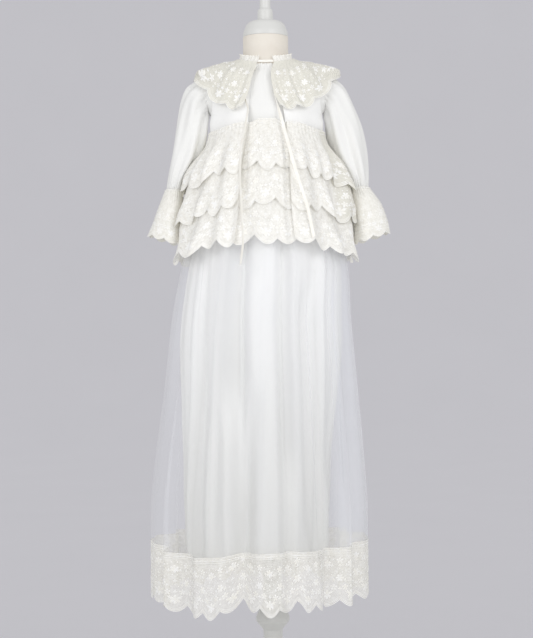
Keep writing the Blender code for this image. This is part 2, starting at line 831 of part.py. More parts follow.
def ribbon():
    """A narrow satin ribbon through the neckband: a short stretch at the front and two tails."""
    grid = []
    for lift in (0.0082, 0.0020):
        grid.append(
            [on_form(phi, neck_z(phi) + lift, 0.0044) for phi in spaced(-12.9, 12.9, 6)]
        )
    cloth("ribbon_front", "satin_ribbon", grid, RIBBON_WALL)
    for name, route in RIBBON_TAILS.items():
        grid = []
        for z in spaced(route[0][1], route[-1][1], 26):
            x = read(route, TAIL_COLUMNS, "x", z)
            slope = (
                read(route, TAIL_COLUMNS, "x", z + 0.004) - read(route, TAIL_COLUMNS, "x", z - 0.004)
            ) / 0.008
            lean = atan2(slope, 1)
            row = []
            for across in (-0.5, 0.5):
                step = RIBBON_WIDTH * across
                here = Vector((x + step * cos(lean), 0, z - step * sin(lean)))
                here.y = in_front(here.x, here.z)
                row.append(here)
            grid.append(row)
        cloth(name, "satin_ribbon", grid, RIBBON_WALL)


# ---------------------------------------------------------------- the object


def build():
    for piece in list(bpy.data.objects):
        bpy.data.objects.remove(piece, do_unlink=True)
    dress_form()
    gown_bodice()
    gown_skirt()
    skirt_lining()
    hem_lace()
    lace_tiers()
    jacket_body()
    neckband()
    collar()
    sleeves()
    cuffs()
    ribbon()


build()
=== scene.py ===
"""How the christening gown and its lace jacket look, on their limbless dress form.

Metres, +Z up, the front faces -Y and +X is to the right as the front is seen, as in the CAD model.
Angles named phi go round the body from the front: 0 is the front, 90 is +X, 180 is the back.
"""

import bpy
import numpy as np
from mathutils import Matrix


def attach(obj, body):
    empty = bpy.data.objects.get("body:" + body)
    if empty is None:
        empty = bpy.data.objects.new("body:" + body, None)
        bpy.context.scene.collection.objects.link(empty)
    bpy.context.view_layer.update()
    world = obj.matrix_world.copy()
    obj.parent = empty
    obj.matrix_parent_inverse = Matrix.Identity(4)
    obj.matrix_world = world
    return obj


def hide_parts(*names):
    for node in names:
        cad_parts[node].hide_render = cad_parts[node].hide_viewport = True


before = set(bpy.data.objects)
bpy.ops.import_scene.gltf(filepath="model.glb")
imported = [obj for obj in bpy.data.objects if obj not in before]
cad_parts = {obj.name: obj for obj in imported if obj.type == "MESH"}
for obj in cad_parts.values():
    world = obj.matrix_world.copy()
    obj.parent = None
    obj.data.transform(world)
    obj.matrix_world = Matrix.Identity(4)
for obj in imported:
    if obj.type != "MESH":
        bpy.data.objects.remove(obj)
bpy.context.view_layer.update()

# ---------------------------------------------------------------- the room and the camera
# A plain studio: a pale floor that turns up into a round wall, both covered in matt lilac-grey
# paper, an even white room light, two soft boxes in front, left and right above the camera, and
# a weak one in the middle, level with it and turned up a little.

FLOOR_RADIUS = 5.0
SWEEP_RADIUS, SWEEP_STEPS = 1.6, 12
PAPER_SINKS = 0.0004  # how far the paper lies below the foot, so that the two don't touch
WALL_TOP = 7.0
CAMERA_PLACE = (-0.0046, -2.5, 0.73)
CAMERA_LEAN = 0.73  # degrees, about the line of sight
CAMERA_LENS = 78.37  # mm, on a 36 mm sensor along the long side
ROOM_LIGHT = 0.67
# x, y, z, lean and turn in degrees, watts
SOFT_BOXES = (
    (-0.95, -1.45, 1.50, 74, -33, 6.1),
    (0.95, -1.45, 1.50, 74, 33, 6.6),
    (0.00, -1.60, 0.72, 98, 0, 2.4),
)
SOFT_BOX_SIZE = 0.9


def linear(code):
    """An sRGB colour such as #c2c1c6 as linear red, green and blue, with a full alpha."""
    parts = [int(code[i : i + 2], 16) / 255 for i in (1, 3, 5)]
    return (*[c / 12.92 if c <= 0.04045 else ((c + 0.055) / 1.055) ** 2.4 for c in parts], 1.0)


def fill(tree, node, inputs):
    """Sets each of these inputs to a value, or links it."""
    for name, value in inputs.items():
        if isinstance(value, bpy.types.NodeSocket):
            tree.links.new(value, node.inputs[name])
        else:
            node.inputs[name].default_value = value


def add(tree, kind, inputs, **settings):
    """A node of that kind, with its inputs and its settings."""
    node = tree.nodes.new(kind)
    for name, value in settings.items():
        setattr(node, name, value)
    fill(tree, node, inputs)
    return node


def new_finish(name):
    """A new material, its node tree and its Principled shader."""
    material = bpy.data.materials.new(name)
    material.use_nodes = True
    return material, material.node_tree, material.node_tree.nodes["Principled BSDF"]


# Seamless studio paper: an uncoated, felt-marked paper. Dead matt, with a hardly visible mottle
# about 330 mm across.
paper, tree, shader = new_finish("backdrop_paper")
place = add(tree, "ShaderNodeTexCoord", {})
mottle = add(tree, "ShaderNodeTexNoise", {"Vector": place.outputs["Object"], "Scale": 3.0, "Detail": 4.0})
tint = add(tree, "ShaderNodeValToRGB", {"Fac": mottle.outputs["Fac"]})
tint.color_ramp.elements[0].color = linear("#e6e5eb")
tint.color_ramp.elements[1].color = linear("#e9e8ee")
fill(tree, shader, {"Base Color": tint.outputs["Color"], "Roughness": 0.95, "Specular IOR Level": 0.1})

bpy.ops.object.select_all(action="DESELECT")
bpy.ops.mesh.primitive_circle_add(
    vertices=128, radius=FLOOR_RADIUS, fill_type="NGON", location=(0, 0, -PAPER_SINKS)
)
backdrop = bpy.context.active_object
backdrop.name = "backdrop"
bpy.ops.object.mode_set(mode="EDIT")
bpy.ops.mesh.select_all(action="SELECT")
bpy.ops.mesh.region_to_loop()
radius, height = FLOOR_RADIUS, 0.0
for step in range(1, SWEEP_STEPS + 1):
    turn = np.pi / 2 * step / SWEEP_STEPS
    next_radius = FLOOR_RADIUS + SWEEP_RADIUS * np.sin(turn)
    next_height = SWEEP_RADIUS * (1 - np.cos(turn))
    bpy.ops.mesh.extrude_edges_move(TRANSFORM_OT_translate={"value": (0, 0, next_height - height)})
    grow = next_radius / radius
    bpy.ops.transform.resize(value=(grow, grow, 1), center_override=(0, 0, next_height))
    radius, height = next_radius, next_height
bpy.ops.mesh.extrude_edges_move(TRANSFORM_OT_translate={"value": (0, 0, WALL_TOP - height)})
bpy.ops.mesh.select_all(action="SELECT")
bpy.ops.mesh.normals_make_consistent(inside=True)
bpy.ops.mesh.faces_shade_smooth()
bpy.ops.object.mode_set(mode="OBJECT")
bpy.ops.object.transform_apply(location=True, rotation=False, scale=False)
backdrop.data.materials.append(paper)
# The room's light comes through the paper, so that floor and wall are lit alike all round.
backdrop.visible_diffuse = backdrop.visible_glossy = backdrop.visible_shadow = False

scene = bpy.context.scene
room = bpy.data.worlds.new("room_light")
scene.world = room
room.use_nodes = True
white = {"Color": (1.0, 1.0, 1.0, 1.0), "Strength": ROOM_LIGHT}
fill(room.node_tree, room.node_tree.nodes["Background"], white)

# The boxes are flagged off the backdrop, which keeps the paper even.
flagged_off = bpy.data.collections.new("flagged_off")
flagged_off.objects.link(backdrop)
flagged_off.collection_objects[0].light_linking.link_state = "EXCLUDE"
for x, y, z, lean, turn, watts in SOFT_BOXES:
    soft_box = bpy.data.lights.new("soft_box", "AREA")
    soft_box.shape = "DISK"
    soft_box.size = SOFT_BOX_SIZE
    soft_box.energy = watts
    lamp = bpy.data.objects.new("soft_box", soft_box)
    lamp.location = (x, y, z)
    lamp.rotation_euler = (np.radians(lean), 0.0, np.radians(turn))
    lamp.light_linking.receiver_collection = flagged_off
    scene.collection.objects.link(lamp)

camera = bpy.data.objects.new("camera", bpy.data.cameras.new("camera"))
camera.location = CAMERA_PLACE
camera.rotation_euler = (np.radians(90), np.radians(CAMERA_LEAN), 0.0)
camera.data.lens = CAMERA_LENS
camera.data.sensor_width = 36.0
scene.collection.objects.link(camera)
scene.camera = camera
scene.view_settings.view_transform = "Standard"
# Light has to get through up to a dozen layers of net and organza.
scene.cycles.transparent_max_bounces = 32
scene.cycles.diffuse_bounces = 8

# ---------------------------------------------------------------- the dress form
# A child's papier-mache torso padded with wadding and covered in a close natural cotton jersey,
# which is stretched over it and pulled in under the neck cap. It has no arms, head or legs.

FORM_INSET = 0.0006  # how far the form stands inside the shape that the cloth is draped on
FORM_SIDES = 72
# z, half width, half depth
FORM = (
    (0.835, 0.0840, 0.0630),
    (0.850, 0.0930, 0.0710),
    (0.890, 0.0960, 0.0760),
    (0.930, 0.0910, 0.0730),
    (0.980, 0.0850, 0.0700),
    (1.030, 0.0860, 0.0705),
    (1.079, 0.0900, 0.0715),
    (1.108, 0.0985, 0.0700),
    (1.130, 0.1060, 0.0660),
    (1.148, 0.1075, 0.0610),
    (1.160, 0.1010, 0.0560),
    (1.168, 0.0890, 0.0520),
    (1.174, 0.0760, 0.0495),
    (1.181, 0.0620, 0.0470),
    (1.186, 0.0530, 0.0450),
    (1.191, 0.0460, 0.0430),
    (1.198, 0.0425, 0.0417),
    (1.206, 0.0412, 0.0410),
    (1.236, 0.0412, 0.0410),
)


def read(table, column, at, key=0):
    """One column of a table where its key column is `at`, on a smooth curve with no overshoot."""
    rows = np.array(sorted(table, key=lambda row: row[key]), float)
    x, y = rows[:, key], rows[:, column]
    at = np.clip(at, x[0], x[-1])
    i = np.clip(np.searchsorted(x, at, side="left") - 1, 0, len(x) - 2)
    rise = np.diff(y) / np.diff(x)
    slope = np.concatenate([rise[:1], np.zeros(len(x) - 2), rise[-1:]])
    same = rise[:-1] * rise[1:] > 0
    slope[1:-1][same] = 2 * rise[:-1][same] * rise[1:][same] / (rise[:-1][same] + rise[1:][same])
    step = x[i + 1] - x[i]
    t = (at - x[i]) / step
    return (
        (2 * t**3 - 3 * t**2 + 1) * y[i]
        + (t**3 - 2 * t**2 + t) * step * slope[i]
        + (3 * t**2 - 2 * t**3) * y[i + 1]
        + (t**3 - t**2) * step * slope[i + 1]
    )


def ease(share):
    """Smoothly from 0 to 1, and flat past both ends."""
    share = np.clip(share, 0.0, 1.0)
    return share * share * (3 - 2 * share)


def blend(a, b, share):
    return a + (b - a) * share


def form_outward(points):
    """The outward direction of the form's surface through each point, and how far out it is."""
    x, y, z = points[..., 0], points[..., 1], points[..., 2]
    step = 0.0005
    wide, deep = read(FORM, 1, z), read(FORM, 2, z)
    widens, deepens = ((read(FORM, k, z + step) - read(FORM, k, z - step)) / (2 * step) for k in (1, 2))
    reach = np.sqrt((x / wide) ** 2 + (y / deep) ** 2)
    steeper = (x / wide) ** 2 / wide * widens + (y / deep) ** 2 / deep * deepens
    gradient = np.stack([x / wide**2, y / deep**2, -steeper], axis=-1) / reach[..., None]
    size = np.linalg.norm(gradient, axis=-1)
    return gradient / size[..., None], (reach - 1) / size


def on_form(phi, z, out):
    """Points `out` from the form's surface."""
    turn = np.radians(phi)
    x, y = read(FORM, 1, z) * np.sin(turn), -read(FORM, 2, z) * np.cos(turn)
    points = np.stack(np.broadcast_arrays(x, y, z), axis=-1)
    return points + form_outward(points)[0] * np.broadcast_to(out, points.shape[:-1])[..., None]


def new_piece(name, points, faces, flat, finish):
    """A piece with these points and faces. flat is each corner's place on the flat cloth in
    millimetres, which its UV map holds."""
    mesh = bpy.data.meshes.new(name)
    mesh.from_pydata(points.tolist(), [], faces.tolist())
    mesh.uv_layers.new(name="flat_mm").data.foreach_set("uv", flat.astype(np.float32).ravel())
    mesh.shade_smooth()
    mesh.materials.append(finish)
    piece = bpy.data.objects.new(name, mesh)
    scene.collection.objects.link(piece)
    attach(piece, "root")
    return piece


def shell(name, node, points, finish, closed=False, flip=False):
    """A piece whose surface is a grid of points, rows down and columns along, and which stands
    for that node. closed joins the last column to the first, and flip turns the outer side. Laid
    flat, it is as long as its longest row and as wide as its columns are on average."""
    rows, columns = points.shape[:2]
    index = np.arange(rows * columns).reshape(rows, columns)
    around = points
    if closed:
        index = np.hstack([index, index[:, :1]])
        around = np.concatenate([points, points[:, :1]], axis=1)
    steps = np.linalg.norm(np.diff(around, axis=1), axis=-1)
    along = np.concatenate([[0.0], np.cumsum(steps[steps.sum(axis=1).argmax()])]) * 1000
    fall = np.linalg.norm(np.diff(around, axis=0), axis=-1).mean(axis=1)
    down = np.concatenate([[0.0], np.cumsum(fall)]) * 1000
    flat = np.stack(np.meshgrid(along, -down), axis=-1)
    before, after = slice(None, -1), slice(1, None)
    pick = ((before, before), (after, before), (after, after), (before, after))
    if flip:
        pick = pick[::-1]
    faces = np.stack([index[p] for p in pick], axis=-1).reshape(-1, 4)
    flat = np.stack([flat[p] for p in pick], axis=-2)
    piece = new_piece(name, points.reshape(-1, 3), faces, flat, finish)
    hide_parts(node)
    return piece


WAVE = 0.1 * np.pi  # how far apart the bands of a wave texture are at scale 1

# Cotton jersey: a fine rib-knit tube, unbleached. Matt and a little fuzzy. Its wales are 0.9 mm
# apart, drawn at 1.6 mm so that they show.
jersey, tree, shader = new_finish("cotton_jersey")
place = add(tree, "ShaderNodeTexCoord", {})
wales = {"Vector": place.outputs["UV"], "Scale": WAVE / 1.5708, "Distortion": 0.6, "Detail": 1.0}
wales = add(tree, "ShaderNodeTexWave", wales)
cloud = add(tree, "ShaderNodeTexNoise", {"Vector": place.outputs["Object"], "Scale": 28.0, "Detail": 3.0})
tint = add(tree, "ShaderNodeValToRGB", {"Fac": cloud.outputs["Fac"]})
tint.color_ramp.elements[0].position, tint.color_ramp.elements[1].position = 0.3, 0.7
tint.color_ramp.elements[0].color = linear("#e4ddd3")
tint.color_ramp.elements[1].color = linear("#ebe5dc")
knit = add(tree, "ShaderNodeBump", {"Height": wales.outputs["Fac"], "Strength": 0.25, "Distance": 0.0003})
look = {"Base Color": tint.outputs["Color"], "Normal": knit.outputs["Normal"]}
fill(tree, shader, look | {"Roughness": 0.9, "Sheen Weight": 0.15})


def close_up(angle):
    """Ends the editing of a solid piece: joins the points that touch, turns its faces outwards,
    and smooths the edges that are flatter than that many degrees."""
    bpy.ops.mesh.select_all(action="SELECT")
    bpy.ops.mesh.remove_doubles(threshold=1e-6)
    bpy.ops.mesh.normals_make_consistent(inside=False)
    bpy.ops.object.mode_set(mode="OBJECT")
    bpy.ops.object.transform_apply(location=True, rotation=False, scale=False)
    bpy.ops.object.shade_smooth_by_angle(angle=np.radians(angle))


# Its rows are closer over the shoulders, and it is closed at the middle of its top and foot.
form_top, form_foot = FORM[-1][0], FORM[0][0]
levels = np.concatenate([np.linspace(form_top, 1.150, 30), np.linspace(1.146, form_foot, 32)])
rings = on_form(np.linspace(0, 360, FORM_SIDES, endpoint=False)[None, :], levels[:, None], -FORM_INSET)
middle_top, middle_foot = (np.tile([0.0, 0.0, z], (1, FORM_SIDES, 1)) for z in (form_top, form_foot))
rings = np.concatenate([middle_top, rings, middle_foot])
torso = shell("covered_torso", "form_torso", rings, jersey, closed=True)
bpy.ops.object.select_all(action="DESELECT")
torso.select_set(True)
bpy.context.view_layer.objects.active = torso
bpy.ops.object.mode_set(mode="EDIT")
close_up(40)

# ---------------------------------------------------------------- the stand
# The neck cap, the finial, the pole with its bead and the round foot are turned beech, sealed and
# sprayed with satin white enamel. The pole runs up into the form; the cap is pinned on its neck.

# radius, z
NECK_CAP = (
    (0.0405, 1.2363),
    (0.0400, 1.2440),
    (0.0375, 1.2510),
    (0.0340, 1.2590),
    (0.0275, 1.2640),
    (0.0160, 1.2662),
)
FINIAL = (
    (0.0138, 1.2665),
    (0.0138, 1.2760),
    (0.0132, 1.2850),
    (0.0097, 1.2890),
    (0.0095, 1.3190),
    (0.0060, 1.3245),
    (0.0010, 1.3260),
)
POLE = (
    (0.0200, 0.0323),
    (0.0200, 0.0430),
    (0.0170, 0.1500),
    (0.0174, 0.1720),
    (0.0230, 0.1790),
    (0.0300, 0.1880),
    (0.0298, 0.1960),
    (0.0250, 0.2060),
    (0.0195, 0.2150),
    (0.0170, 0.2240),
    (0.0170, 0.8346),
)
BASE = (
    (0.1500, 0.0000),
    (0.1500, 0.0120),
    (0.1380, 0.0160),
    (0.0900, 0.0200),
    (0.0480, 0.0270),
    (0.0380, 0.0320),
)

# Satin enamel on turned wood: smooth, a soft highlight, and the faintest rings left by the lathe,
# about 1 mm apart.
enamel, tree, shader = new_finish("satin_white_enamel")
place = add(tree, "ShaderNodeTexCoord", {})
parts = add(tree, "ShaderNodeSeparateXYZ", {"Vector": place.outputs["Object"]})
rings_at = add(
    tree,
    "ShaderNodeTexNoise",
    {"W": parts.outputs["Z"], "Scale": 900.0, "Detail": 2.0},
    noise_dimensions="1D",
)
cloud = add(tree, "ShaderNodeTexNoise", {"Vector": place.outputs["Object"], "Scale": 16.0, "Detail": 3.0})
tint = add(tree, "ShaderNodeValToRGB", {"Fac": cloud.outputs["Fac"]})
tint.color_ramp.elements[0].color = linear("#d8d8d6")
tint.color_ramp.elements[1].color = linear("#dededc")
gloss = add(tree, "ShaderNodeMapRange", {"Value": cloud.outputs["Fac"], "To Min": 0.30, "To Max": 0.42})
lathe = add(tree, "ShaderNodeBump", {"Height": rings_at.outputs["Fac"], "Strength": 0.08, "Distance": 0.0002})
look = {"Base Color": tint.outputs["Color"], "Normal": lathe.outputs["Normal"]}
fill(tree, shader, look | {"Roughness": gloss.outputs["Result"]})


def turned(name, node, profile, sides, steps):
    """Turned as on a lathe: a disc at the profile's foot, drawn up and in or out along it in at
    least that many steps."""
    profile = np.array(profile)
    run = np.concatenate([[0.0], np.cumsum(np.linalg.norm(np.diff(profile, axis=0), axis=1))])
    table = np.column_stack([run, profile])
    marks = np.unique(np.concatenate([run, np.linspace(0, run[-1], steps)]).round(5))
    line = np.column_stack([read(table, 1, marks), read(table, 2, marks)])
    radius, height = line[0]
    bpy.ops.object.select_all(action="DESELECT")
    bpy.ops.mesh.primitive_circle_add(
        vertices=sides, radius=radius, fill_type="NGON", location=(0, 0, height)
    )
    piece = bpy.context.active_object
    piece.name = name
    bpy.ops.object.mode_set(mode="EDIT")
    bpy.ops.mesh.select_all(action="SELECT")
    for next_radius, next_height in line[1:]:
        bpy.ops.mesh.extrude_region_move(TRANSFORM_OT_translate={"value": (0, 0, next_height - height)})
        grow = next_radius / radius
        bpy.ops.transform.resize(value=(grow, grow, 1), center_override=(0, 0, next_height))
        radius, height = next_radius, next_height
    close_up(35)
    piece.data.materials.append(enamel)
    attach(piece, "root")
    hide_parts(node)


turned("neck_cap", "form_neck_cap", NECK_CAP, 64, 16)
turned("finial", "stand_finial", FINIAL, 48, 24)
turned("pole", "stand_pole", POLE, 48, 60)
turned("foot", "stand_base", BASE, 96, 20)

# ---------------------------------------------------------------- the gown's bodice
# A plain front and back of white silk batiste, seamed at the shoulders and sides and drawn up in
# small gathers at the neck. The front shows in the opening of the jacket.

SEAM_GAP = 0.0005
WAIST_Z = 1.067
ARMHOLE_Z, ARMHOLE_HALF_HEIGHT, ARMHOLE_HALF_DEPTH = 1.1335, 0.0325, 0.034
PANEL_FOOT, PANEL_TOP = 1.0675, 1.1905  # a bodice panel's lowest and highest row, at its side
PANEL_ROWS, ARMHOLE_ROWS = 61, 25
PANEL_EDGE = 0.25  # degrees from a panel's edge to the side seam or the armhole
NECK_FRILL = 0.004


def cloth_finish(name, darker, lighter, thread, roughness, sheen):
    """A plain-woven cloth, with some uneven threads that run down it. thread is how far apart
    they are drawn, in millimetres. The edge_mm attribute is how far off a hemmed edge is, and
    its stitches lie 3 mm in."""
    material, tree, shader = new_finish(name)
    place = add(tree, "ShaderNodeTexCoord", {})
    threads = {"Vector": place.outputs["UV"], "Scale": WAVE / thread, "Distortion": 0.5}
    warp = add(tree, "ShaderNodeTexWave", threads)
    weft = add(tree, "ShaderNodeTexWave", threads, bands_direction="Y")
    woven = {0: warp.outputs["Fac"], 1: weft.outputs["Fac"]}
    woven = add(tree, "ShaderNodeMath", woven, operation="MULTIPLY")
    long = add(tree, "ShaderNodeMapping", {"Vector": place.outputs["UV"], "Scale": (0.9, 0.03, 1.0)})
    slub = add(tree, "ShaderNodeTexNoise", {"Vector": long.outputs["Vector"], "Scale": 1.0, "Detail": 2.0})
    cloud = add(tree, "ShaderNodeTexNoise", {"Vector": place.outputs["Object"], "Scale": 14.0, "Detail": 3.0})
    both = {"Factor": 0.4, "A": cloud.outputs["Fac"], "B": slub.outputs["Fac"]}
    both = add(tree, "ShaderNodeMix", both)
    tint = add(tree, "ShaderNodeValToRGB", {"Fac": both.outputs["Result"]})
    tint.color_ramp.elements[0].position, tint.color_ramp.elements[1].position = 0.3, 0.7
    tint.color_ramp.elements[0].color = linear(darker)
    tint.color_ramp.elements[1].color = linear(lighter)
    edge = add(tree, "ShaderNodeAttribute", {}, attribute_name="edge_mm")
    stitches = add(tree, "ShaderNodeMath", {0: edge.outputs["Fac"], 1: 3.0, 2: 0.7}, operation="COMPARE")
    relief = {0: woven.outputs["Value"], 1: stitches.outputs["Value"]}
    relief = add(tree, "ShaderNodeMath", relief, operation="SUBTRACT")
    bump = {"Height": relief.outputs["Value"], "Strength": 0.25, "Distance": 0.0003}
    bump = add(tree, "ShaderNodeBump", bump)
    rough = {"Value": slub.outputs["Fac"], "To Min": roughness - 0.06, "To Max": roughness + 0.06}
    rough = add(tree, "ShaderNodeMapRange", rough)
    look = {"Base Color": tint.outputs["Color"], "Normal": bump.outputs["Normal"]}
    look |= {"Roughness": rough.outputs["Result"], "Sheen Weight": sheen, "Sheen Roughness": 0.4}
    fill(tree, shader, look)
    return material, tree, shader


# Silk batiste: a fine soft plain weave, washed and pressed. Opaque and matt, with a low sheen.
# Its threads are 0.2 mm apart, drawn at 0.28 mm, and only show from close to.
BATISTE_THREAD = 0.27635
batiste, *_ = cloth_finish("silk_batiste", "#efefee", "#f4f4f3", BATISTE_THREAD, 0.72, 0.08)


def waves(count, phi, shift=0.0):
    """That many even waves round the body, from -1 to 1."""
    return np.cos(np.radians(count * phi) + shift)


def neck_z(phi):
    """The lower edge of the neckband: low at the front and high at the back."""
    towards_front = waves(1, phi)
    return 1.191 - np.where(towards_front > 0, 0.0135, 0.006) * towards_front


def armhole_phi(z, deep):
    """Where the armhole's edge lies at this height, in degrees from the front."""
    level = np.clip((z - ARMHOLE_Z) / ARMHOLE_HALF_HEIGHT, -1, 1)
    return np.degrees(np.arccos(np.minimum(1.0, ARMHOLE_HALF_DEPTH * np.sqrt(1 - level * level) / deep)))


def panel(out_at, foot_z, edges, turn_back, columns, drag, frill=0.0, sag=None):
    """The points of a bodice panel. edges gives the first and last phi of each row; None is the
    side seam and the armhole. drag moves the cloth out, and is given phi and z. frill is how far
    the neck edge stands up in the middle of the front, and sag(phi) is the height of the foot."""
    even_rows = np.linspace(PANEL_FOOT, PANEL_TOP, PANEL_ROWS)
    # Closer rows by the top and the foot of the armhole, where its edge turns fastest.
    turn = np.linspace(0, np.pi, ARMHOLE_ROWS)
    armhole_rows = np.cos(turn) * ARMHOLE_HALF_HEIGHT * 0.9999 + ARMHOLE_Z
    levels = np.unique(np.concatenate([even_rows, armhole_rows]))[::-1]
    shares = (levels - PANEL_FOOT) / (PANEL_TOP - PANEL_FOOT)
    side_z = blend(foot_z, PANEL_TOP, shares)
    out = out_at(side_z)
    seam = armhole_phi(side_z, read(FORM, 2, side_z) + out) - PANEL_EDGE
    first, last = edges(shares)
    first = -seam if first is None else first
    last = seam if last is None else last
    phi = blend(first[:, None], last[:, None], np.linspace(0, 1, columns)[None, :])
    phi = 180 - phi if turn_back else phi
    top = neck_z(phi) - SEAM_GAP + frill * ease((17 - np.abs(phi)) / 4)
    z = blend(sag(phi) if sag else foot_z, top, shares[:, None])
    return on_form(phi, z, out[:, None] + drag(phi, z))


def as_sheet(points, fullness):
    """Works out a cloth piece's cut: as long as its longest row times its fullness, which is how
    much more cloth its finest gathers hold, and as wide as its longest column. A cut that tapers
    still fills a third of that oblong. Nothing is done with these sizes."""
    long = np.linalg.norm(np.diff(points, axis=1), axis=-1).sum(axis=1).max() * fullness
    wide = np.linalg.norm(np.diff(points, axis=0), axis=-1).sum(axis=0).max()
    across = np.cross(points[1:, :-1] - points[:-1, :-1], points[:-1, 1:] - points[:-1, :-1])
    area = np.linalg.norm(across, axis=-1).sum() * fullness
    area = min(long * wide, max(area, 0.31 * long * wide))


def neck_gathers(phi, z):
    """Fine gathers that run down from the neck and fade out."""
    fall = neck_z(phi) - z
    size = 0.0005 * np.exp(-fall / 0.030) + 0.0004 * np.exp(-np.abs(fall) / 0.008)
    return size * (waves(47, phi) + 0.6 * waves(71, phi, 1))


def whole_panel(shares):
    return None, None


def gown_out(z):
    return blend(0.0030, 0.0016, ease((z - 1.14) / 0.05))


for name, node, turn_back in (
    ("gown_front_panel", "gown_front", False),
    ("gown_back_panel", "gown_back", True),
):
    frill = 0.0 if turn_back else NECK_FRILL
    points = panel(gown_out, WAIST_Z + SEAM_GAP, whole_panel, turn_back, 200, neck_gathers, frill)
    piece = shell(name, node, points, batiste, flip=turn_back)
    as_sheet(points, 1.1)

# ---------------------------------------------------------------- the gown's skirt
# Two full panels of silk organza, seamed at the sides and gathered into the waist, over a plainer
# opaque lining of the same batiste, which hangs free inside and ends just behind the lace's top.

SKIRT_HEM_Z, LACE_HEM_Z = 0.3385, 0.236
LINING_TOP_Z = 1.045
LINING_OVERLAP = 0.014  # how far the lining hangs down behind the lace
LAYER_STEP = 0.0018  # the organza's thickness and the gap behind it
FLUTE_DEPTH = 0.0030
# z, half width, half depth, centre x, fold depth: where the skirt's folds stand out furthest
SKIRT = (
    (1.080, 0.0920, 0.0745, 0.000, 0.0004),
    (1.067, 0.0925, 0.0750, 0.000, 0.0004),
    (1.040, 0.0975, 0.0810, 0.000, 0.0020),
    (1.010, 0.1050, 0.0890, -0.001, 0.0040),
    (0.980, 0.1115, 0.0970, -0.002, 0.0055),
    (0.930, 0.1215, 0.1070, -0.004, 0.0075),
    (0.870, 0.1375, 0.1180, -0.004, 0.0100),
    (0.820, 0.1515, 0.1285, -0.006, 0.0130),
    (0.725, 0.1630, 0.1420, -0.013, 0.0190),
    (0.608, 0.1750, 0.1560, -0.015, 0.0240),
    (0.476, 0.1895, 0.1690, -0.019, 0.0300),
    (0.388, 0.1960, 0.1760, -0.021, 0.0340),
    (0.225, 0.1965, 0.1790, -0.022, 0.0400),
)
# Each row is a valley from waist to hem: phi at the waist and at the hem, half width, share
SKIRT_FOLDS = (
    (-21.0, -9.0, 11.0, 0.85),
    (17.0, 17.0, 7.0, 0.45),
    (38.0, 43.0, 13.0, 0.80),
    (61.0, 65.0, 10.0, 0.60),
    (112.0, 113.0, 12.0, 0.90),
    (135.0, 135.0, 11.0, 0.75),
    (157.0, 156.0, 12.0, 1.00),
    (180.0, 178.0, 11.0, 0.70),
    (202.0, 201.0, 12.0, 0.85),
    (225.0, 224.0, 12.0, 0.95),
    (248.0, 247.0, 12.0, 0.80),
    (296.0, 291.0, 10.0, 0.60),
    (317.0, 313.0, 13.0, 0.85),
)
# Each row is a narrow crease: phi at its top and foot, z of its top and foot, half width, depth
SKIRT_CREASES = (
    (-22.5, -18.0, 0.930, 0.510, 6.0, 0.024),
    (-3.0, -6.5, 0.660, 0.280, 4.5, 0.014),
    (13.5, 18.0, 0.930, 0.400, 4.5, 0.017),
    (33.0, 34.5, 0.820, 0.280, 4.0, 0.014),
    (-31.0, -27.0, 0.600, 0.280, 3.5, 0.007),
    (-54.0, -47.0, 0.900, 0.480, 4.5, 0.009),
    (58.0, 54.0, 0.860, 0.380, 4.5, 0.008),
    (128.0, 124.0, 0.900, 0.400, 4.0, 0.009),
    (148.0, 146.0, 0.800, 0.280, 4.0, 0.010),
    (171.0, 168.0, 0.930, 0.480, 4.0, 0.012),
    (190.0, 192.0, 0.720, 0.280, 3.5, 0.009),
    (214.0, 212.0, 0.900, 0.360, 4.0, 0.011),
    (236.0, 238.0, 0.800, 0.280, 4.0, 0.009),
)


def on_skirt(phi, z, out):
    """Points `out` from the outermost reach of the skirt."""
    turn = np.radians(phi)
    x = read(SKIRT, 3, z) + (read(SKIRT, 1, z) + out) * np.sin(turn)
    y = -(read(SKIRT, 2, z) + out) * np.cos(turn)
    return np.stack(np.broadcast_arrays(x, y, z), axis=-1)


def apart(phi, other):
    """How many degrees lie between two places round the body."""
    return np.abs((phi - other + 180) % 360 - 180)


def hump(off):
    """1 in the middle, where off is 0, and smoothly down to 0 where it is 1 or more."""
    return np.where(off < 1, np.cos(np.pi / 2 * np.minimum(off, 1)) ** 2, 0)


def fold_share(phi, z):
    """0 on the skirt's ridges and 1 at the bottom of its deepest valley."""
    down = ease((WAIST_Z - z) / (WAIST_Z - LACE_HEM_Z))
    deepest = np.zeros(np.broadcast(phi, z).shape)
    for phi_top, phi_hem, half_width, share in SKIRT_FOLDS:
        off = apart(phi, blend(phi_top, phi_hem, down)) / half_width
        deepest = np.maximum(deepest, share * hump(off))
    return deepest


def crease(phi, z, wider=0.0):
    """How deep the narrow creases are here, where each is that many degrees wider."""
    deep = np.zeros(np.broadcast(phi, z).shape)
    for phi_top, phi_foot, top, foot, half_width, depth in SKIRT_CREASES:
        off = apart(phi, blend(phi_top, phi_foot, (top - z) / (top - foot))) / (half_width + wider)
        fading = ease((top - z) / 0.10) * ease((z - foot) / 0.14)
        deep = np.maximum(deep, depth * fading * hump(off))
    return deep


def skirt_fold(phi, z):
    """How far the skirt lies inside its outermost reach."""
    return fold_share(phi, z) * read(SKIRT, 4, z) + crease(phi, z)


def skirt_ripple(phi, z):
    """Small soft flutes between the folds, always inwards, that grow towards the hem."""
    flutes = waves(17, phi, 0.7) + 0.7 * waves(26, phi, 2.1 + 1.5 * z) + 0.2 * waves(47, phi, 4.0 - 2.0 * z)
    return FLUTE_DEPTH * ease((1.05 - z) / 0.35) * (flutes - 1.9) / 1.9


